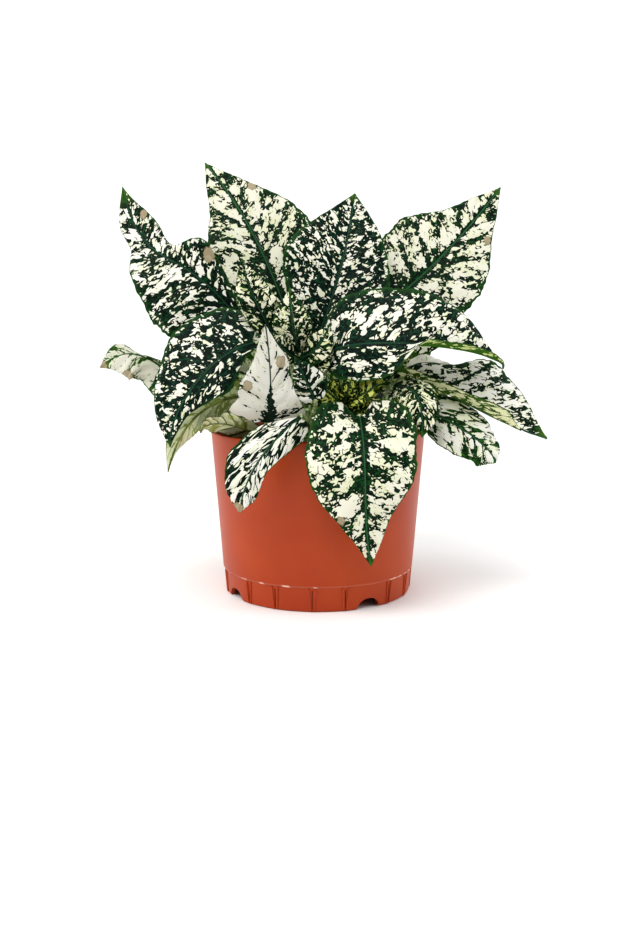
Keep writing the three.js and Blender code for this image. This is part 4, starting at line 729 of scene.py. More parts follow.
def leaf_markings():
    """The white splashes of a leaf. Pigment is missing in round spots about a millimetre wide,
    drawn out along the lateral veins: each spot's size follows two sizes of cloud, so that spots
    fuse to patches where the clouds are dense and stay single specks where they are thin. Green
    bands follow the midrib, the lateral veins, the margin and the tip."""
    tree = bpy.data.node_groups.new("Leaf markings", "ShaderNodeTree")
    for name, value in USUAL_LOOK.items():
        socket = tree.interface.new_socket(name, in_out="INPUT", socket_type="NodeSocketFloat")
        socket.default_value = value
    for name in ("White", "Rim", "Dot", "Cloud"):
        tree.interface.new_socket(name, in_out="OUTPUT", socket_type="NodeSocketFloat")
    given = add(tree, "NodeGroupInput", out=None).outputs
    way = add(tree, "ShaderNodeAttribute", out="Vector", attribute_name="way")
    place = add(tree, "ShaderNodeAttribute", out="Vector", attribute_name="place")
    # along and across the lateral veins and away from them; share of the length, share of the
    # half width and distance from the midrib
    way = add(tree, "ShaderNodeSeparateXYZ", {0: way}, out=None).outputs
    place = add(tree, "ShaderNodeSeparateXYZ", {0: place}, out=None).outputs
    drawn = add(tree, "ShaderNodeMath", {0: way[0], 1: given["Streak"]}, operation="MULTIPLY")
    flat = add(tree, "ShaderNodeCombineXYZ", {0: drawn, 1: way[1]})
    # cells bent out of shape every 1.7 mm, and two sizes of cloud read at each cell's centre
    rough = add(tree, "ShaderNodeTexNoise", {"Vector": flat, "Scale": 0.6, "Detail": 0.0}, out=1,
                noise_dimensions="2D")
    rough = add(tree, "ShaderNodeVectorMath", {0: rough, 1: (0.5, 0.5, 0.5)}, operation="SUBTRACT")
    bent = add(tree, "ShaderNodeVectorMath", {0: rough, 1: (1.6, 1.6, 0), 2: flat},
               operation="MULTIPLY_ADD")
    scale = add(tree, "ShaderNodeMath", {0: 1.0, 1: given["Grain"]}, operation="DIVIDE")
    cell = add(tree, "ShaderNodeTexVoronoi", {"Vector": bent, "Scale": scale, "Smoothness": 0.4},
               out=None, voronoi_dimensions="2D", feature="SMOOTH_F1")
    centre = cell.outputs["Position"]
    own = add(tree, "ShaderNodeSeparateColor", {0: cell.outputs["Color"]}, out=None).outputs
    large = add(tree, "ShaderNodeMath", {0: 1.0, 1: given["Patch"]}, operation="DIVIDE")
    cloud = add(tree, "ShaderNodeTexNoise", {"Vector": centre, "Scale": large, "Detail": 1.0},
                noise_dimensions="2D")
    small = add(tree, "ShaderNodeMath", {0: large, 1: 2.7}, operation="MULTIPLY")
    wisp = add(tree, "ShaderNodeTexNoise", {"Vector": centre, "Scale": small, "Detail": 0.5},
               noise_dimensions="2D")
    value = add(tree, "ShaderNodeMix", {0: 0.4, 2: cloud, 3: wisp}, data_type="FLOAT")
    loose = add(tree, "ShaderNodeMath", {0: own[0], 1: 0.5}, operation="SUBTRACT")
    value = add(tree, "ShaderNodeMath", {0: loose, 1: given["Scatter"], 2: value},
                operation="MULTIPLY_ADD")
    value = add(tree, "ShaderNodeMath", {0: value, 1: given["Share"]}, operation="ADD")
    value = green_bands(tree, value, loose, given, way, place)
    # from the cell's value to its spot's radius, and so to the distance inside the spot
    radius = add(tree, "ShaderNodeMapRange", {0: value, 1: 0.92, 2: 1.08, 3: 0.0, 4: 0.92},
                 clamp=False)
    speck = add(tree, "ShaderNodeMath", {0: own[1], 1: given["Specks"]}, operation="LESS_THAN")
    least = add(tree, "ShaderNodeMapRange", {0: value, 1: 0.7, 2: 0.9, 3: 0.0, 4: 0.3})
    least = add(tree, "ShaderNodeMath", {0: least, 1: speck}, operation="MULTIPLY")
    radius = add(tree, "ShaderNodeMath", {0: radius, 1: least}, operation="MAXIMUM")
    inside = add(tree, "ShaderNodeMath", {0: radius, 1: cell.outputs["Distance"]},
                 operation="SUBTRACT")
    white = add(tree, "ShaderNodeMapRange", {0: inside, 1: -0.035, 2: 0.035},
                interpolation_type="SMOOTHSTEP")
    rim = add(tree, "ShaderNodeMapRange", {0: inside, 1: -0.75, 2: -0.3},
              interpolation_type="SMOOTHSTEP")
    # green dots about 0.5 mm wide, which the tissue shows here and there where it is white
    fine = add(tree, "ShaderNodeTexVoronoi", {"Vector": bent, "Scale": 0.6}, out=None,
               voronoi_dimensions="2D")
    dot = add(tree, "ShaderNodeMapRange", {0: fine.outputs["Distance"], 1: 0.09, 2: 0.2, 3: 0.8,
                                           4: 0.0})
    few = add(tree, "ShaderNodeSeparateColor", {0: fine.outputs["Color"]})
    few = add(tree, "ShaderNodeMath", {0: few, 1: 0.22}, operation="LESS_THAN")
    dot = add(tree, "ShaderNodeMath", {0: dot, 1: few}, operation="MULTIPLY")
    add(tree, "NodeGroupOutput", {"White": white, "Rim": rim, "Dot": dot, "Cloud": cloud}, out=None)
    return tree


MARKINGS = leaf_markings()
LOOKS = {
    "splashed": {"Share": 0.54, "Patch": 7.0, "Grain": 1.15, "Streak": 0.65, "Scatter": 0.2,
                 "Specks": 0.35, "Vein band": 2.2, "Midrib band": 3.0},
    "speckled": {"Share": 0.45, "Patch": 3.8, "Grain": 1.2, "Streak": 0.7, "Scatter": 0.33,
                 "Specks": 0.35, "Midrib band": 2.2},
    "blotched": {"Share": 0.465, "Patch": 4.5, "Grain": 1.2, "Streak": 0.6, "Scatter": 0.24,
                 "Specks": 0.35, "Vein band": 1.6, "Midrib band": 2.2},
    "mottled": {"Share": 0.49, "Patch": 3.0, "Grain": 0.8, "Scatter": 0.26, "Specks": 0.3,
                "Vein band": 1.0, "Midrib band": 2.0},
    "dappled": {"Share": 0.495, "Patch": 5.5, "Grain": 1.15, "Streak": 0.55, "Scatter": 0.22,
                "Specks": 0.25, "Vein band": 1.4, "Midrib band": 2.6},
    "whitened": {"Share": 0.53, "Patch": 4.5, "Grain": 1.05, "Streak": 0.5, "Scatter": 0.2,
                 "Specks": 0.2, "Vein band": 1.2, "Midrib band": 1.6},
    "edged": {"Share": 0.555, "Patch": 7.0, "Grain": 0.9, "Streak": 0.4, "Scatter": 0.2,
              "Vein band": 0.6, "Midrib band": 1.2, "Margin band": 0.3},
    "streaked": {"Share": 0.525, "Patch": 2.5, "Grain": 0.8, "Streak": 0.24, "Scatter": 0.24,
                 "Specks": 0.2, "Vein band": 0.3, "Midrib band": 0.8, "Tip band": 0.1},
    "blanched": {"Share": 0.7, "Patch": 12.0, "Grain": 0.8, "Streak": 0.5, "Scatter": 0.06,
                 "Specks": 0.0, "Vein band": 0.9, "Midrib band": 5.4, "Midrib end": -0.5,
                 "Margin band": 0.1, "Tip band": 0.0},
    "faded": {"Share": 0.62, "Patch": 9.0, "Grain": 0.9, "Streak": 0.4, "Scatter": 0.1,
              "Specks": 0.0, "Vein band": 1.4, "Midrib band": 1.0, "Margin band": 0.5,
              "Tip band": 0.1},
    "young": {"Share": 0.49, "Patch": 2.6, "Grain": 0.85, "Scatter": 0.3, "Specks": 0.2,
              "Midrib band": 1.2, "Vein band": 0.6},
}
# Green tissue where it is thin and where it is thick, its rim beside the white, the white where
# it is tinted and where it is clear, and green and white as the under side shows them
LEAF_COLORS = {
    "splashed": ("194C20", "0F341C", "081A10", "D8DABA", "E3E1CF", "3F6A1E", "D0D89A"),
    "speckled": ("17432C", "0E2E22", "071610", "DCDFC2", "E8E6D8", "3F6A1E", "CDD692"),
    "blotched": ("17432C", "0E2E22", "071610", "DCDFC2", "E8E6D8", "3F6A1E", "CDD692"),
    "mottled": ("1E4E22", "12301A", "06120A", "D4DAA8", "E6E4CC", "5E7A30", "C4CB90"),
    "dappled": ("194628", "103320", "07150E", "DCDEC4", "E8E6DA", "3F6A1E", "D0D89A"),
    "whitened": ("1A4A26", "10351E", "07160D", "DCDEC4", "E6E4DA", "3F6222", "E6E9BC"),
    "edged": ("306A1A", "1A4C1C", "0C2410", "DCDEC4", "E4E2D8", "3F6A1E", "DADFA6"),
    "streaked": ("163C22", "0C2618", "06110B", "DADCC6", "E6E5DA", "3F6A1E", "D0D6A0"),
    "blanched": ("12382A", "0D2A20", "0A1A12", "D0CEC0", "D8D6CC", "9AA65E", "D8DDB2"),
    # the faded under side's green and white are partly painted light: paler than the tissue itself,
    # standing in for light that shines through the leaf
    "faded": ("4A701E", "3C5E1C", "2E4A1A", "D2D4BE", "DAD8CA", "A2AC66", "E0E5BE"),
    "young": ("465A12", "284010", "101A08", "98A43C", "C4CA70", "6E8428", "A4AE54"),
}
# The line down the midrib, and how strongly it shows through the white
MIDRIB_LINES = {"blanched": ("12281C", 0.95), "splashed": ("3A7446", 0.6)}


def leaf_tissue(look):
    """Living leaf of a polka dot plant: a thin cuticle gives a soft satin sheen over tissue that
    is deep blue-green where it holds pigment and creamy white where it holds none. The under
    side is paler and duller, with its veins drawn in green."""
    material, tree = new_material(f"Polka dot plant leaf, {look}")
    thin, thick, dark, tinted, clear, under_green, under_white = LEAF_COLORS[look]
    marks = add(tree, "ShaderNodeGroup", LOOKS[look], out=None, node_tree=MARKINGS)
    white, rim, dot, cloud = (marks.outputs[name] for name in ("White", "Rim", "Dot", "Cloud"))
    place = add(tree, "ShaderNodeAttribute", out="Vector", attribute_name="place")
    place = add(tree, "ShaderNodeSeparateXYZ", {0: place}, out=None).outputs
    way = add(tree, "ShaderNodeAttribute", out="Vector", attribute_name="way")
    from_vein = add(tree, "ShaderNodeSeparateXYZ", {0: way}, out=2)
    under = add(tree, "ShaderNodeAttribute", out="Fac", attribute_name="under")
    scar = add(tree, "ShaderNodeAttribute", out="Fac", attribute_name="scar")
    # upper side: green with a dark rim round each white splash and fresher at margin and tip
    green = add(tree, "ShaderNodeValToRGB", {0: cloud}, stops=((0.35, thin), (0.65, thick)))
    edge = add(tree, "ShaderNodeMapRange", {0: place[1], 1: 0.86, 2: 1.0, 4: 1.2})
    edge = add(tree, "ShaderNodeMath", {0: edge, 1: cloud}, operation="MULTIPLY")
    tip = add(tree, "ShaderNodeMapRange", {0: place[0], 1: 0.92, 2: 1.0})
    green = layered(tree, green, (rim, dark), (edge, "2C5A1E"), (tip, "4A7212"))
    pale = add(tree, "ShaderNodeValToRGB", {0: cloud}, stops=((0.42, tinted), (0.62, clear)))
    pale = layered(tree, pale, (dot, "8FA548"))
    line_color, share = MIDRIB_LINES.get(look, ("2F5F44", 0.5))
    line = add(tree, "ShaderNodeMapRange", {0: place[2], 1: 0.2, 2: 0.45, 3: share, 4: 0.0})
    upper = layered(tree, green, (white, pale), (line, line_color))
    # under side: veins drawn in green where the tissue is thick, and a green brim
    vein = add(tree, "ShaderNodeMath", {0: from_vein, 1: place[2]}, operation="MINIMUM")
    vein = add(tree, "ShaderNodeMapRange", {0: vein, 1: 0.2, 2: 0.45, 3: 0.9, 4: 0.0})
    seen = add(tree, "ShaderNodeMapRange", {0: cloud, 1: 0.42, 2: 0.56, 3: 0.15, 4: 1.0})
    vein = add(tree, "ShaderNodeMath", {0: vein, 1: seen}, operation="MULTIPLY")
    brim = add(tree, "ShaderNodeMapRange", {0: place[1], 1: 0.93, 2: 0.97, 4: 0.8})
    vein = add(tree, "ShaderNodeMath", {0: vein, 1: brim}, operation="MAXIMUM")
    lower = layered(tree, under_green, (white, under_white), (vein, "2E4A1C"))
    # dry brown spots with a frayed edge, and the pale stalk, both mottled about 1.4 mm wide
    fray = add(tree, "ShaderNodeTexNoise", {"Vector": way, "Scale": 0.7, "Detail": 2.0},
               noise_dimensions="2D")
    burnt = add(tree, "ShaderNodeMath", {0: fray, 1: 0.6, 2: scar}, operation="MULTIPLY_ADD")
    dry = add(tree, "ShaderNodeValToRGB", {0: burnt}, stops=((0.86, "66553A"), (1.0, "A3967A")))
    burnt = add(tree, "ShaderNodeMapRange", {0: burnt, 1: 0.8, 2: 0.88, 4: 0.92})
    stalk = add(tree, "ShaderNodeValToRGB", {0: fray}, stops=((0.4, "7F9A52"), (0.62, "D9DFBE")))
    on_stalk = add(tree, "ShaderNodeMapRange", {0: place[0], 1: 0.0, 2: -0.03})
    colour = layered(tree, upper, (under, lower), (burnt, dry), (on_stalk, stalk))
    # bump from the skin's cells, drawn coarser than the real ones so that they show
    cells = add(tree, "ShaderNodeTexVoronoi", {"Vector": way, "Scale": 1.3},
                voronoi_dimensions="2D")
    bump = add(tree, "ShaderNodeBump", {"Strength": 0.3, "Distance": 0.1 * MM, "Height": cells},
               invert=True)
    surface = add(tree, "ShaderNodeBsdfPrincipled", {
        "Base Color": colour, "Roughness": 0.5, "IOR": 1.42, "Specular IOR Level": 0.12,
        "Normal": bump})
    add(tree, "ShaderNodeOutputMaterial", {"Surface": surface}, out=None)
    return material


def stem_tissue():
    """Soft green stem: watery tissue under a thin skin, pale and streaked lengthways with green."""
    material, tree = new_material("Polka dot plant stem, pale green tissue")
    place = add(tree, "ShaderNodeTexCoord", out="Object")
    # streaks about 1 mm wide and 9 mm long
    long = add(tree, "ShaderNodeMapping", {"Vector": place, "Scale": (900, 900, 110)})
    streak = add(tree, "ShaderNodeTexNoise", {"Vector": long, "Scale": 1.0, "Detail": 3.0})
    colour = add(tree, "ShaderNodeValToRGB", {0: streak},
                 stops=((0.4, "3F5C26"), (0.52, "7F9A58"), (0.66, "D3DABA")))
    bump = add(tree, "ShaderNodeBump", {"Strength": 0.4, "Distance": 0.1 * MM, "Height": streak})
    surface = add(tree, "ShaderNodeBsdfPrincipled", {
        "Base Color": colour, "Roughness": 0.5, "IOR": 1.4, "Normal": bump})
    add(tree, "ShaderNodeOutputMaterial", {"Surface": surface}, out=None)
    return material


def moulded_polypropylene():
    """Brick-red injection-moulded polypropylene: a satin skin with faint flow marks, scuffed pale along
    the edge of the foot band, where a painted highlight lies as well."""
    material, tree = new_material("Moulded polypropylene, brick red")
    place = add(tree, "ShaderNodeTexCoord", out="Object")
    # clouds of deeper and paler red, about 36 mm across
    soft = add(tree, "ShaderNodeTexNoise", {"Vector": place, "Scale": 28.0, "Detail": 2.0})
    colour = add(tree, "ShaderNodeValToRGB", {0: soft}, stops=((0.3, "A3390A"), (0.7, "AF430B")))
    # pale nicks under a millimetre wide, in three of ten cells that are 17 mm across
    grit = add(tree, "ShaderNodeTexVoronoi", {"Vector": place, "Scale": 60.0}, out=None)
    nick = add(tree, "ShaderNodeMapRange", {0: grit.outputs["Distance"], 1: 0.015, 2: 0.025,
                                            3: 0.7, 4: 0.0})
    few = add(tree, "ShaderNodeSeparateColor", {0: grit.outputs["Color"]})
    few = add(tree, "ShaderNodeMath", {0: few, 1: 0.3}, operation="LESS_THAN")
    nick = add(tree, "ShaderNodeMath", {0: nick, 1: few}, operation="MULTIPLY")
    # the step above the foot band is scuffed pale, and carries a painted highlight, in places about 7 mm
    # long
    height = add(tree, "ShaderNodeSeparateXYZ", {0: place}, out=2)
    off = add(tree, "ShaderNodeMath", {0: height, 1: (BAND_HEIGHT - 0.1) * MM}, operation="SUBTRACT")
    off = add(tree, "ShaderNodeMath", {0: off}, operation="ABSOLUTE")
    step = add(tree, "ShaderNodeMapRange", {0: off, 1: 0.25 * MM, 2: 0.6 * MM, 3: 1.0, 4: 0.0})
    scuff_and_highlight = add(tree, "ShaderNodeTexNoise", {"Vector": place, "Scale": 150.0, "Detail": 2.0})
    scuff_and_highlight = add(tree, "ShaderNodeMapRange", {0: scuff_and_highlight, 1: 0.55, 2: 0.62, 3: 0.1})
    scuff_and_highlight = add(tree, "ShaderNodeMath", {0: scuff_and_highlight, 1: step}, operation="MULTIPLY")
    colour = layered(tree, colour, (nick, "E3A98F"), (scuff_and_highlight, "F0C9B8"))
    # flow marks about 5 mm wide that run up the wall
    upright = add(tree, "ShaderNodeMapping", {"Vector": place, "Scale": (220, 220, 12)})
    flow = add(tree, "ShaderNodeTexNoise", {"Vector": upright, "Scale": 1.0, "Detail": 2.0})
    bump = add(tree, "ShaderNodeBump", {"Strength": 0.25, "Distance": 0.1 * MM, "Height": flow})
    rough = add(tree, "ShaderNodeMapRange", {0: soft, 1: 0.3, 2: 0.7, 3: 0.38, 4: 0.46})
    surface = add(tree, "ShaderNodeBsdfPrincipled", {
        "Base Color": colour, "Roughness": rough, "IOR": 1.49, "Specular IOR Level": 0.4,
        "Normal": bump})
    add(tree, "ShaderNodeOutputMaterial", {"Surface": surface}, out=None)
    return material


def potting_soil(name, dark, light, scale):
    """A part of the potting soil, damp and dull, with grains of mixed tone and painted shade in its
    hollows. The scale is how many of its grains or fibres lie side by side in a metre."""
    material, tree = new_material(name)
    place = add(tree, "ShaderNodeTexCoord", out="Object")
    grains = add(tree, "ShaderNodeTexNoise", {"Vector": place, "Scale": scale, "Detail": 4.0})
    # one noise gives both the bump and the colour: darker grains, and painted shade in the hollows
    colour = add(tree, "ShaderNodeValToRGB", {0: grains}, stops=((0.35, dark), (0.7, light)))
    bump = add(tree, "ShaderNodeBump", {"Strength": 0.7, "Distance": 0.5 * MM, "Height": grains})
    surface = add(tree, "ShaderNodeBsdfPrincipled", {
        "Base Color": colour, "Roughness": 0.93, "IOR": 1.35, "Normal": bump})
    add(tree, "ShaderNodeOutputMaterial", {"Surface": surface}, out=None)
    return material


LEAF_TISSUE = {look: leaf_tissue(look) for look in LOOKS}
STEM_TISSUE = stem_tissue()
POLYPROPYLENE = moulded_polypropylene()
PEAT = potting_soil("Peat and bark potting soil", "1C130D", "4A3828", 420.0)
BARK = potting_soil("Composted bark crumbs", "2A1C12", "6A4C33", 700.0)
PERLITE = potting_soil("Expanded perlite grains", "B9B3A6", "E8E4DA", 900.0)


# Pieces
def new_mesh(name, points, faces):
    """A smooth mesh from points in millimetres, kept inside the box of the solids."""
    mesh = bpy.data.meshes.new(name)
    inside = np.clip(np.asarray(points) * MM, cad_box[0], cad_box[1])
    mesh.from_pydata(inside.tolist(), [], faces)
    mesh.polygons.foreach_set("use_smooth", [True] * len(mesh.polygons))
    return mesh


def set_vectors(mesh, name, values):
    """Gives each of a mesh's points a vector that its material reads."""
    data = mesh.attributes.new(name, "FLOAT_VECTOR", "POINT").data
    data.foreach_set("vector", np.asarray(values, np.float32).ravel())


def place_piece(name, mesh, node):
    """Puts a finished mesh in the scene in place of a node, on the plant's one body."""
    made = bpy.data.objects.new(name, mesh)
    bpy.context.scene.collection.objects.link(made)
    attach(made, "root")
    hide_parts(node)


def mark_edges(mesh, edges):
    """Marks these edges sharp, so that a thin margin keeps a crisp line."""
    wanted = {tuple(sorted(edge)) for edge in edges}
    flags = [tuple(sorted(edge.vertices)) in wanted for edge in mesh.edges]
    mesh.attributes.new("sharp_edge", "BOOLEAN", "EDGE").data.foreach_set("value", flags)


def leaf_mesh(name, body, leaf):
    """A mesh with its leaf vectors, and how brown it is near the dry spots of its leaf."""
    points, faces, way, place, under, margins = body
    scar = np.zeros(len(points))
    for along, across, radius in leaf.get("spots", ()):
        centre = leaf_point(leaf, np.array(along), np.array(across))
        far = np.linalg.norm((points - centre) * (1, 1, 0.75), axis=1) / radius
        scar = np.maximum(scar, np.clip(1.5 - far, 0, 1))
    mesh = new_mesh(name, points, faces)
    set_vectors(mesh, "way", way)
    set_vectors(mesh, "place", place)
    mesh.attributes.new("scar", "FLOAT", "POINT").data.foreach_set("value", scar)
    mesh.attributes.new("under", "FLOAT", "FACE").data.foreach_set("value", under)
    mark_edges(mesh, margins)
    return mesh


for number, (node, leaf) in enumerate(LEAVES.items()):
    hidden = node.startswith(("leaf_back", "leaf_side", "leaf_inner"))
    grid = HIDDEN_GRID if hidden else LEAF_GRID
    mesh = leaf_mesh(f"{node}_tissue", leaf_loops(leaf, *grid, 1 + 0.618 * number), leaf)
    mesh.materials.append(LEAF_TISSUE[leaf["look"]])
    place_piece(f"{node}_tissue", mesh, node)


def stem_body(stem):
    """A stem with its knuckles, rounded off at the tip."""
    places = stem_places(stem)
    rows = [(h, 1.0, 0.0) for h in np.linspace(0, 1, STEM_ROWS)]
    rows += [(1.0, 0.85, 0.35), (1.0, 0.55, 0.7), (1.0, 0.2, 0.85)]
    points, faces = [], []
    turn = math.tau * np.arange(STEM_SIDES) / STEM_SIDES
    for h, share, lift in rows:
        h = np.array(h)
        axis = heading(places, h)
        side = without(np.array([1.0, 0, 0]), axis)
        other = np.cross(axis, side)
        radius = stem_radius(stem, h) * share * (1 + 0.05 * np.cos(4 * turn))
        ring = (through(places, h) + axis * lift + side * (np.cos(turn) * radius)[:, None]
                + other * (np.sin(turn) * radius)[:, None])
        points += ring.tolist()
    for i in range(len(rows) - 1):
        for k in range(STEM_SIDES):
            a, b = i * STEM_SIDES + k, i * STEM_SIDES + (k + 1) % STEM_SIDES
            faces.append([a, b, b + STEM_SIDES, a + STEM_SIDES])
    faces.append(list(range(STEM_SIDES))[::-1])
    faces.append([(len(rows) - 1) * STEM_SIDES + k for k in range(STEM_SIDES)])
    return points, faces


def shoot_body(number, stem):
    """A stem with its young leaves, and the number of each face's material."""
    points, faces = stem_body(stem)
    way = [[0, 0, FAR_FROM_VEIN]] * len(points)
    place = [[0.5, 0.5, FAR_FROM_VEIN]] * len(points)
    under, margins, kinds = [0.0] * len(faces), [], [0] * len(faces)
    for order, leaf in enumerate(stem.get("young", ())):
        body = young_loops(leaf, *YOUNG_GRID, 3 + number + 0.37 * order)
        start = len(points)
        points += body[0].tolist()
        faces += [[i + start for i in face] for face in body[1]]
        way += body[2].tolist()
        place += body[3].tolist()
        under += body[4]
        margins += [(a + start, b + start) for a, b in body[5]]
        kinds += [1] * len(body[1])
    return (points, faces, way, place, under, margins), kinds


for number, (name, stem) in enumerate(STEMS.items()):
    body, kinds = shoot_body(number, stem)
    mesh = leaf_mesh(f"stem_{name}_shoot", body, {})
    mesh.materials.append(STEM_TISSUE)
    mesh.materials.append(LEAF_TISSUE["mottled" if name == "inner" else "young"])
    mesh.polygons.foreach_set("material_index", kinds)
    place_piece(f"stem_{name}_shoot", mesh, f"stem_{name}")


# Geometry trees, each built here with named inputs
def geometry_tree(name, sizes):
    """An empty tree with these named sizes as inputs, and what its input node gives."""
    tree = bpy.data.node_groups.new(name, "GeometryNodeTree")
    tree.interface.new_socket("Geometry", in_out="INPUT", socket_type="NodeSocketGeometry")
    for size, value in sizes.items():
        kind = "NodeSocketInt" if isinstance(value, int) else "NodeSocketFloat"
        socket = tree.interface.new_socket(size, in_out="INPUT", socket_type=kind)
        socket.default_value = value
    tree.interface.new_socket("Geometry", in_out="OUTPUT", socket_type="NodeSocketGeometry")
    return tree, add(tree, "NodeGroupInput", out=None).outputs


def held(mesh):
    """An object that holds a mesh while a modifier works on it."""
    holder = bpy.data.objects.new("holder", mesh)
    bpy.context.scene.collection.objects.link(holder)
    return holder


def finished(holder):
    """The plain mesh that the holder's modifier makes. The holder is removed."""
    depsgraph = bpy.context.evaluated_depsgraph_get()
    made = bpy.data.meshes.new_from_object(holder.evaluated_get(depsgraph), depsgraph=depsgraph)
    holder.modifiers.clear()
    bpy.data.objects.remove(holder)
    return made


def grown(name, mesh, tree, sizes):
    """The plain mesh that a tree makes of this one with these sizes."""
    holder = held(mesh)
    modifier = holder.modifiers.new("grown", "NODES")
    modifier.node_group = tree
    for item in tree.interface.items_tree:
        if item.in_out == "INPUT" and item.name in sizes:
            modifier[item.identifier] = sizes[item.name]
    made = finished(holder)
    made.name = name
    return made


def cut(mesh, cutters):
    """The mesh with the cutters taken away from it."""
    holder, tool = held(mesh), held(cutters)
    modifier = holder.modifiers.new("cut", "BOOLEAN")
    modifier.object, modifier.operation, modifier.solver = tool, "DIFFERENCE", "MANIFOLD"
    made = finished(holder)
    bpy.data.objects.remove(tool)
    return made


def crumb_tree(name, material):
    """Scatters crumbs over the faces of a surface: small stones with uneven sides."""
    tree, given = geometry_tree(name, {"Size": CRUMB_SIZE * MM, "Density": 50000.0, "Seed": 1})
    points = add(tree, "GeometryNodeDistributePointsOnFaces", {
        "Mesh": given["Geometry"], "Density": given["Density"], "Seed": given["Seed"]}, out=None)
    # a stone with uneven sides, and below it how each one is turned, squashed and sized
    stone = add(tree, "GeometryNodeMeshIcoSphere", {"Radius": 1.0, "Subdivisions": 1})
    uneven = add(tree, "ShaderNodeTexNoise", {"Scale": 0.9, "Detail": 1.0}, out=1)
    uneven = add(tree, "ShaderNodeVectorMath", {0: uneven, 1: (0.5, 0.5, 0.5)},
                 operation="SUBTRACT")
    uneven = add(tree, "ShaderNodeVectorMath", {0: uneven, "Scale": 1.6}, operation="SCALE")
    stone = add(tree, "GeometryNodeSetPosition", {"Geometry": stone, "Offset": uneven})
    turn = add(tree, "FunctionNodeRandomValue", {0: (0, 0, 0), 1: (6.28, 6.28, 6.28)},
               data_type="FLOAT_VECTOR")
    thin = add(tree, "FunctionNodeRandomValue", {0: (0.35, 0.35, 0.3), 1: (1.3, 0.9, 0.7)},
               data_type="FLOAT_VECTOR")
    scale = add(tree, "ShaderNodeVectorMath", {0: thin, "Scale": given["Size"]},
                operation="SCALE")
    spread = add(tree, "GeometryNodeInstanceOnPoints", {
        "Points": points.outputs["Points"], "Instance": stone, "Rotation": turn, "Scale": scale})
    real = add(tree, "GeometryNodeRealizeInstances", {"Geometry": spread})
    real = add(tree, "GeometryNodeSetMaterial", {"Geometry": real, "Material": material})
    add(tree, "NodeGroupOutput", {"Geometry": real}, out=None)
    return tree


# Pot
def wall_radius(z):
    """Outer radius of the pot's plain wall at a height."""
    return FOOT_RADIUS + (RIM_RADIUS - FOOT_RADIUS) * z / POT_HEIGHT


def on_ring(radius, k, sides, z):
    """Point number k of a ring of evenly spaced points round the Z axis, the first in front."""
    angle = math.tau * k / sides
    return radius * math.sin(angle), -radius * math.cos(angle), z


def round_faces(rings, sides):
    """Faces of a round body whose points are its first pole, its rings and its last pole."""
    faces, last = [], 1 + rings * sides
    for k in range(sides):
        step = (k + 1) % sides
        faces.append((0, 1 + step, 1 + k))
        for i in range(rings - 1):
            a, b = 1 + i * sides, 1 + (i + 1) * sides
            faces.append((a + k, a + step, b + step, b + k))
        top = last - sides
        faces.append((top + k, top + step, last))
    return faces


def turned(profile, sides):
    """Points and faces of a profile of radius and height turned round the Z axis; it starts and
    ends on the axis."""
    points = [(0, 0, profile[0][1])]
    points += [on_ring(radius, k, sides, z) for radius, z in profile[1:-1] for k in range(sides)]
    points.append((0, 0, profile[-1][1]))
    return points, round_faces(len(profile) - 2, sides)


def arc(centre, radius, start, end, steps):
    """Profile points round a corner, between two angles in degrees."""
    angles = [math.radians(start + (end - start) * i / steps) for i in range(steps + 1)]
    return [(centre[0] + radius * math.cos(a), centre[1] + radius * math.sin(a)) for a in angles]


def pot_profile():
    """From the axis under the floor, round the foot, up the wall, over the rim and back inside."""
    floor_top = FLOOR_UNDER + FLOOR_THICK
    foot_outer = wall_radius(0) - BAND_DEPTH
    foot_inner = foot_outer - FOOT_WALL
    lip = POT_WALL / 2
    profile = [(0, FLOOR_UNDER), (foot_inner - 1.2, FLOOR_UNDER)]
    profile += arc((foot_inner - 0.6, FLOOR_UNDER - 0.6), 0.6, 90, 0, 3)
    profile += [(foot_inner, FOOT_EDGE), (foot_inner + 0.3, 0), (foot_outer - FOOT_EDGE, 0),
                (foot_outer, FOOT_EDGE)]
    profile += [(wall_radius(z) - BAND_DEPTH, z) for z in (2, 5, 8, 10.6)]
    profile += [(wall_radius(BAND_HEIGHT - BAND_DEPTH) - BAND_DEPTH + 0.05,
                 BAND_HEIGHT - BAND_DEPTH),
                (wall_radius(BAND_HEIGHT) - STEP_EDGE, BAND_HEIGHT - STEP_EDGE),
                (wall_radius(BAND_HEIGHT), BAND_HEIGHT + STEP_EDGE)]
    profile += [(wall_radius(z), z) for z in (14, 20, 30, 40, 50, 60, 70, 76)]
    profile += arc((RIM_RADIUS - lip, POT_HEIGHT - lip), lip, 0, 180, 10)
    profile += [(wall_radius(z) - POT_WALL, z) for z in (76, 65, 50, 35, 20)]
    profile += [(wall_radius(floor_top + 3) - POT_WALL - 0.1, floor_top + 3)]
    profile += arc((wall_radius(floor_top) - POT_WALL - 2.2, floor_top + 1.6), 1.6, 0, -90, 4)
    return profile + [(0, floor_top)]


def notch_outline():
    """An arch: short straight shoulders, and a curve up to the crown and down again."""
    half, shoulder, steps = NOTCH_WIDTH / 2, NOTCH_HEIGHT * 0.2, 20
    outline = [(-half, -1), (half, -1), (half * NOTCH_SHOULDER, shoulder)]
    for i in range(1, steps):
        s = i / steps
        side, rise = (1, s) if s <= 0.5 else (-1, 1 - s)
        u = rise * 2
        x = (1 - u) ** 2 * half * NOTCH_SHOULDER + 2 * u * (1 - u) * half * 0.7
        z = (1 - u) ** 2 * shoulder + 2 * u * (1 - u) * NOTCH_HEIGHT + u * u * NOTCH_HEIGHT
        outline.append((side * x, z))
    return outline + [(-half * NOTCH_SHOULDER, shoulder)]


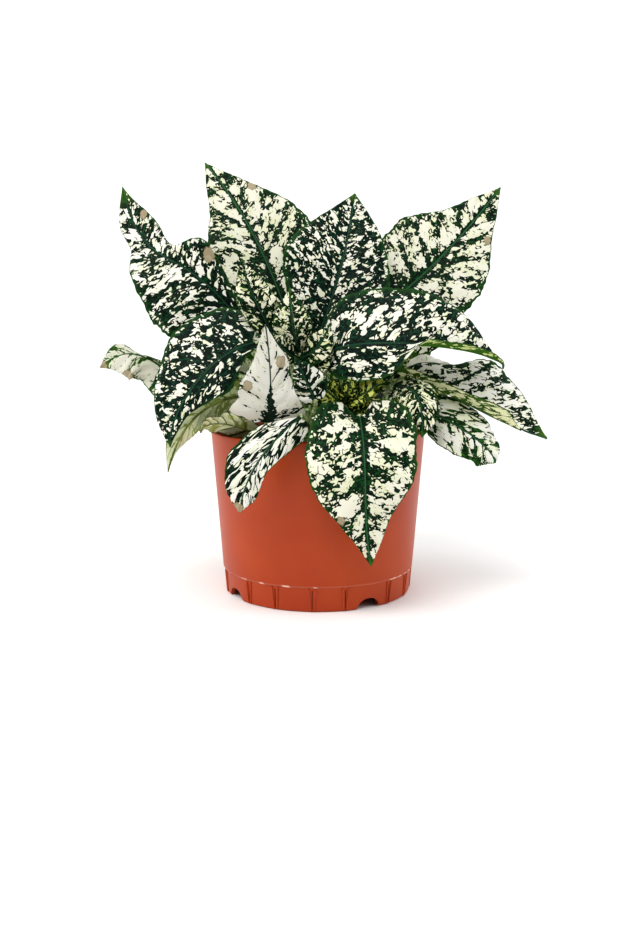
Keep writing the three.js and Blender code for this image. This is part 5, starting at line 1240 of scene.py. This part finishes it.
def foot_cutters():
    """Prisms for the notches, the drain holes and the slots in the ribs. A prism has an outline,
    its turn round the pot, and how far from the axis it starts and ends; a drain hole goes
    through the floor instead and has no such pair."""
    sides = 40
    drain = [(DRAIN_RADIUS * math.cos(math.tau * k / sides),
              DRAIN_RADIUS * math.sin(math.tau * k / sides)) for k in range(sides)]
    slot = [(-SLOT_WIDTH / 2, 1), (SLOT_WIDTH / 2, 1), (SLOT_WIDTH / 2, RIB_LENGTH - 0.6),
            (-SLOT_WIDTH / 2, RIB_LENGTH - 0.6)]
    slot_deep = (wall_radius(0) - BAND_DEPTH - SLOT_DEPTH, 50)
    turns = [NOTCH_FIRST + 90 * k for k in range(NOTCH_COUNT)]
    prisms = [(notch_outline(), turn, (38, 50)) for turn in turns]
    prisms += [(drain, turn + 45, None) for turn in turns]
    prisms += [(slot, turn + side, slot_deep) for turn in turns
               for side in (-RIB_FAR, -RIB_NEAR, RIB_NEAR, RIB_FAR)]
    points, faces = [], []
    for outline, turn, deep in prisms:
        angle, start, size = math.radians(turn), len(points), len(outline)
        for end in (0, 1):
            for x, z in outline:
                if deep:
                    y = -deep[end]
                else:
                    y, z = z - DRAIN_RING, FLOOR_UNDER - 3 + 6 * end
                points.append((x * math.cos(angle) - y * math.sin(angle),
                               x * math.sin(angle) + y * math.cos(angle), z))
        near = range(start, start + size)
        faces += [tuple(near)[::-1], tuple(i + size for i in near)]
        for i in range(size):
            a, b = start + i, start + (i + 1) % size
            faces.append((a, b, b + size, a + size))
    return points, faces


def tidy_normals(mesh):
    """Merges doubles and turns every face outwards."""
    work = bmesh.new()
    work.from_mesh(mesh)
    bmesh.ops.remove_doubles(work, verts=work.verts, dist=1e-7)
    bmesh.ops.recalc_face_normals(work, faces=work.faces)
    work.to_mesh(mesh)
    work.free()


def pot_shell():
    """The pot without its ribs: a turned wall and floor, with all openings cut."""
    cutters = new_mesh("pot_cutters", *foot_cutters())
    tidy_normals(cutters)
    shell = cut(new_mesh("pot_turned", *turned(pot_profile(), POT_SIDES)), cutters)
    shell.set_sharp_from_angle(angle=math.radians(32))
    shell.materials.clear()
    shell.materials.append(POLYPROPYLENE)
    return shell


def rib_tree():
    """Upright ribs round the foot band, in the same four places beside every notch."""
    tree, given = geometry_tree("Foot ribs", {
        "Radius": FOOT_RADIUS * MM, "Width": RIDGE_WIDTH * MM, "Length": RIB_LENGTH * MM,
        "Near": float(RIB_NEAR), "Far": float(RIB_FAR), "First": float(NOTCH_FIRST)})
    # the turn of each rib from its number: four to a notch, the outer two far from it
    index = add(tree, "GeometryNodeInputIndex")
    quarter = add(tree, "ShaderNodeMath", {0: index, 1: 4.0}, operation="DIVIDE")
    quarter = add(tree, "ShaderNodeMath", {0: quarter}, operation="FLOOR")
    place = add(tree, "ShaderNodeMath", {0: index, 1: 4.0}, operation="MODULO")
    place = add(tree, "ShaderNodeMath", {0: place, 1: 1.5}, operation="SUBTRACT")
    outer = add(tree, "ShaderNodeMath", {0: place}, operation="ABSOLUTE")
    outer = add(tree, "ShaderNodeMath", {0: outer, 1: 1.0}, operation="GREATER_THAN")
    away = add(tree, "ShaderNodeMix", {0: outer, 2: given["Near"], 3: given["Far"]},
               data_type="FLOAT")
    side = add(tree, "ShaderNodeMath", {0: place}, operation="SIGN")
    away = add(tree, "ShaderNodeMath", {0: away, 1: side}, operation="MULTIPLY")
    turn = add(tree, "ShaderNodeMath", {0: quarter, 1: 90.0, 2: away}, operation="MULTIPLY_ADD")
    turn = add(tree, "ShaderNodeMath", {0: turn, 1: given["First"]}, operation="ADD")
    turn = add(tree, "ShaderNodeMath", {0: turn}, operation="RADIANS")
    # where it stands, half way up the band
    sine = add(tree, "ShaderNodeMath", {0: turn}, operation="SINE")
    cosine = add(tree, "ShaderNodeMath", {0: turn}, operation="COSINE")
    x = add(tree, "ShaderNodeMath", {0: sine, 1: given["Radius"]}, operation="MULTIPLY")
    y = add(tree, "ShaderNodeMath", {0: cosine, 1: given["Radius"]}, operation="MULTIPLY")
    y = add(tree, "ShaderNodeMath", {0: y, 1: -1.0}, operation="MULTIPLY")
    half = add(tree, "ShaderNodeMath", {0: given["Length"], 1: 0.5, 2: FOOT_EDGE * MM},
               operation="MULTIPLY_ADD")
    spot = add(tree, "ShaderNodeCombineXYZ", {0: x, 1: y, 2: half})
    points = add(tree, "GeometryNodePoints", {"Count": NOTCH_COUNT * 4})
    points = add(tree, "GeometryNodeSetPosition", {"Geometry": points, "Position": spot})
    # a rib is a pair of slim ridges, sunk in the band and closer together at the foot
    ridge = add(tree, "GeometryNodeMeshCylinder", {
        "Vertices": 16, "Side Segments": 1, "Radius": 0.5, "Depth": 1.0})
    rib = add(tree, "GeometryNodeJoinGeometry", out=None)
    high = add(tree, "ShaderNodeSeparateXYZ", {0: add(tree, "GeometryNodeInputPosition")}, out=2)
    for sign in (-1, 1):
        shift = add(tree, "ShaderNodeMath", {0: high, 1: sign * RIDGE_SPLAY, 2: sign * RIDGE_AWAY},
                    operation="MULTIPLY_ADD")
        shift = add(tree, "ShaderNodeCombineXYZ", {0: shift})
        moved = add(tree, "GeometryNodeSetPosition", {"Geometry": ridge, "Offset": shift})
        tree.links.new(moved, rib.inputs[0])
    size = add(tree, "ShaderNodeCombineXYZ", {
        0: given["Width"], 1: given["Width"], 2: given["Length"]})
    spin = add(tree, "ShaderNodeCombineXYZ", {0: WALL_LEAN, 2: turn})
    ribs = add(tree, "GeometryNodeInstanceOnPoints", {
        "Points": points, "Instance": rib.outputs[0], "Rotation": spin, "Scale": size})
    ribs = add(tree, "GeometryNodeRealizeInstances", {"Geometry": ribs})
    ribs = add(tree, "GeometryNodeSetMaterial", {"Geometry": ribs, "Material": POLYPROPYLENE})
    add(tree, "NodeGroupOutput", {"Geometry": ribs}, out=None)
    return tree


place_piece("pot_shell", pot_shell(), "pot")
band_radius = wall_radius(BAND_HEIGHT / 2) - BAND_DEPTH
ribs = grown("pot_foot_ribs", bpy.data.meshes.new("foot_ribs_start"), rib_tree(),
             {"Radius": band_radius * MM})
place_piece("pot_foot_ribs", ribs, "pot")


# Soil
def soil_bed():
    """The filling: an uneven crumbly top, higher towards the middle, and plain sides."""
    floor, sides, rings = FLOOR_UNDER + FLOOR_THICK + 0.3, 150, 46
    low = wall_radius(floor) - POT_WALL - BAND_DEPTH - 1.2
    outer = wall_radius(SOIL_TOP) - POT_WALL - SOIL_GAP
    points = [(0, 0, floor)]
    points += [on_ring(low, k, sides, floor) for k in range(sides)]
    for i in range(rings):
        share = 1 - i / rings
        height = SOIL_TOP + (SOIL_DOME * (1 - share ** 2.4) - SOIL_SUNK)
        for k in range(sides):
            x, y, z = on_ring(outer * share, k, sides, height)
            rough = noise.fractal(Vector((x, y, 4)) * 0.16, 0.9, 2.1, 5) * 1.1
            points.append((x, y, z + min(rough, 0.8)))
    points.append((0, 0, SOIL_TOP + SOIL_DOME - SOIL_SUNK))
    return points, round_faces(rings + 1, sides)


def upper_faces(mesh):
    """A copy of the soil with only the faces that crumbs lie on."""
    top = mesh.copy()
    work = bmesh.new()
    work.from_mesh(top)
    steep = [face for face in work.faces if face.normal.z < 0.3]
    bmesh.ops.delete(work, geom=steep, context="FACES")
    work.to_mesh(top)
    work.free()
    return top


bed = new_mesh("soil_bed", *soil_bed())
bed.materials.append(PEAT)
soil_top = upper_faces(bed)
place_piece("soil_bed", bed, "soil")
# what lies loose on it: size, how many to a square metre, and the seed of their scatter
for name, material, size, density, seed in (
        ("soil_crumbs", BARK, CRUMB_SIZE, 160000.0, 4),
        ("soil_grit", PERLITE, GRIT_SIZE, 5000.0, 9)):
    crumbs = grown(name, soil_top.copy(), crumb_tree(name, material),
                   {"Size": size * MM, "Density": density, "Seed": seed})
    place_piece(name, crumbs, "soil")


# Studio
def pale_floor():
    """Pale matt floor that fades out into the bright studio behind it."""
    material, tree = new_material("Pale matt studio floor")
    place = add(tree, "ShaderNodeTexCoord", out="Object")
    far = add(tree, "ShaderNodeVectorMath", {0: place}, out="Value", operation="LENGTH")
    fade = add(tree, "ShaderNodeMapRange", {0: far, 1: 0.4, 2: 0.9},
               interpolation_type="SMOOTHSTEP")
    paint = add(tree, "ShaderNodeBsdfPrincipled", {"Base Color": "F6F6F5", "Roughness": 0.9})
    clear = add(tree, "ShaderNodeBsdfTransparent")
    faded = add(tree, "ShaderNodeMixShader", {0: fade, 1: paint, 2: clear})
    add(tree, "ShaderNodeOutputMaterial", {"Surface": faded}, out=None)
    return material


def studio_floor():
    """A round disc just under the pot."""
    sides, below = 96, -0.2 * MM
    turns = [math.tau * k / sides for k in range(sides)]
    mesh = bpy.data.meshes.new("studio_floor")
    mesh.from_pydata([(math.cos(a), math.sin(a), below) for a in turns], [], [range(sides)])
    mesh.materials.append(pale_floor())
    floor = bpy.data.objects.new("studio_floor", mesh)
    bpy.context.scene.collection.objects.link(floor)


def studio_air():
    """Bright air all round, darker from the side that the camera looks from."""
    world = bpy.data.worlds.new("Studio air")
    world.use_nodes = True
    tree = world.node_tree
    tree.nodes.clear()
    way = add(tree, "ShaderNodeTexCoord", out="Generated")
    behind = add(tree, "ShaderNodeSeparateXYZ", {0: way}, out=1)
    bright = add(tree, "ShaderNodeMapRange", {0: behind, 1: -0.8, 2: 0.2, 3: 0.3, 4: 1.0})
    glow = add(tree, "ShaderNodeBackground", {"Color": (1, 1, 1, 1), "Strength": bright})
    add(tree, "ShaderNodeOutputWorld", {"Surface": glow}, out=None)
    bpy.context.scene.world = world


def softboxes():
    """Large soft lights: a warm one from the left, a cool one from the right, one from above."""
    for name, place, aim, width, power, tint in (
            ("softbox_left", (-1.1, -0.35, 0.5), (0, 0, 0.1), 0.9, 4.2, (1, 0.97, 0.95)),
            ("softbox_right", (1.15, -0.2, 0.45), (0, 0, 0.1), 0.8, 3.6, (0.82, 0.88, 1)),
            ("softbox_front", (-0.25, -0.75, 1.15), (0, 0, 0.08), 0.7, 8.0, (1, 1, 1))):
        light = bpy.data.lights.new(name, "AREA")
        light.size, light.energy, light.color = width, power, tint
        lamp = bpy.data.objects.new(name, light)
        lamp.location = place
        lamp.rotation_euler = (Vector(aim) - Vector(place)).to_track_quat("-Z", "Y").to_euler()
        bpy.context.scene.collection.objects.link(lamp)


def camera():
    """The camera at the photograph's place and angle."""
    lens = bpy.data.cameras.new("camera")
    lens.sensor_width, lens.lens, lens.clip_start = SENSOR, LENS, 0.01
    eye = bpy.data.objects.new("camera", lens)
    eye.location = [part * MM for part in EYE]
    eye.rotation_euler = (math.radians(90 - PITCH), 0, 0)
    bpy.context.scene.collection.objects.link(eye)
    bpy.context.scene.camera = eye


studio_floor()
studio_air()
softboxes()
camera()
bpy.context.scene.view_settings.view_transform = "Standard"
bpy.context.scene.view_settings.look = "Medium High Contrast"
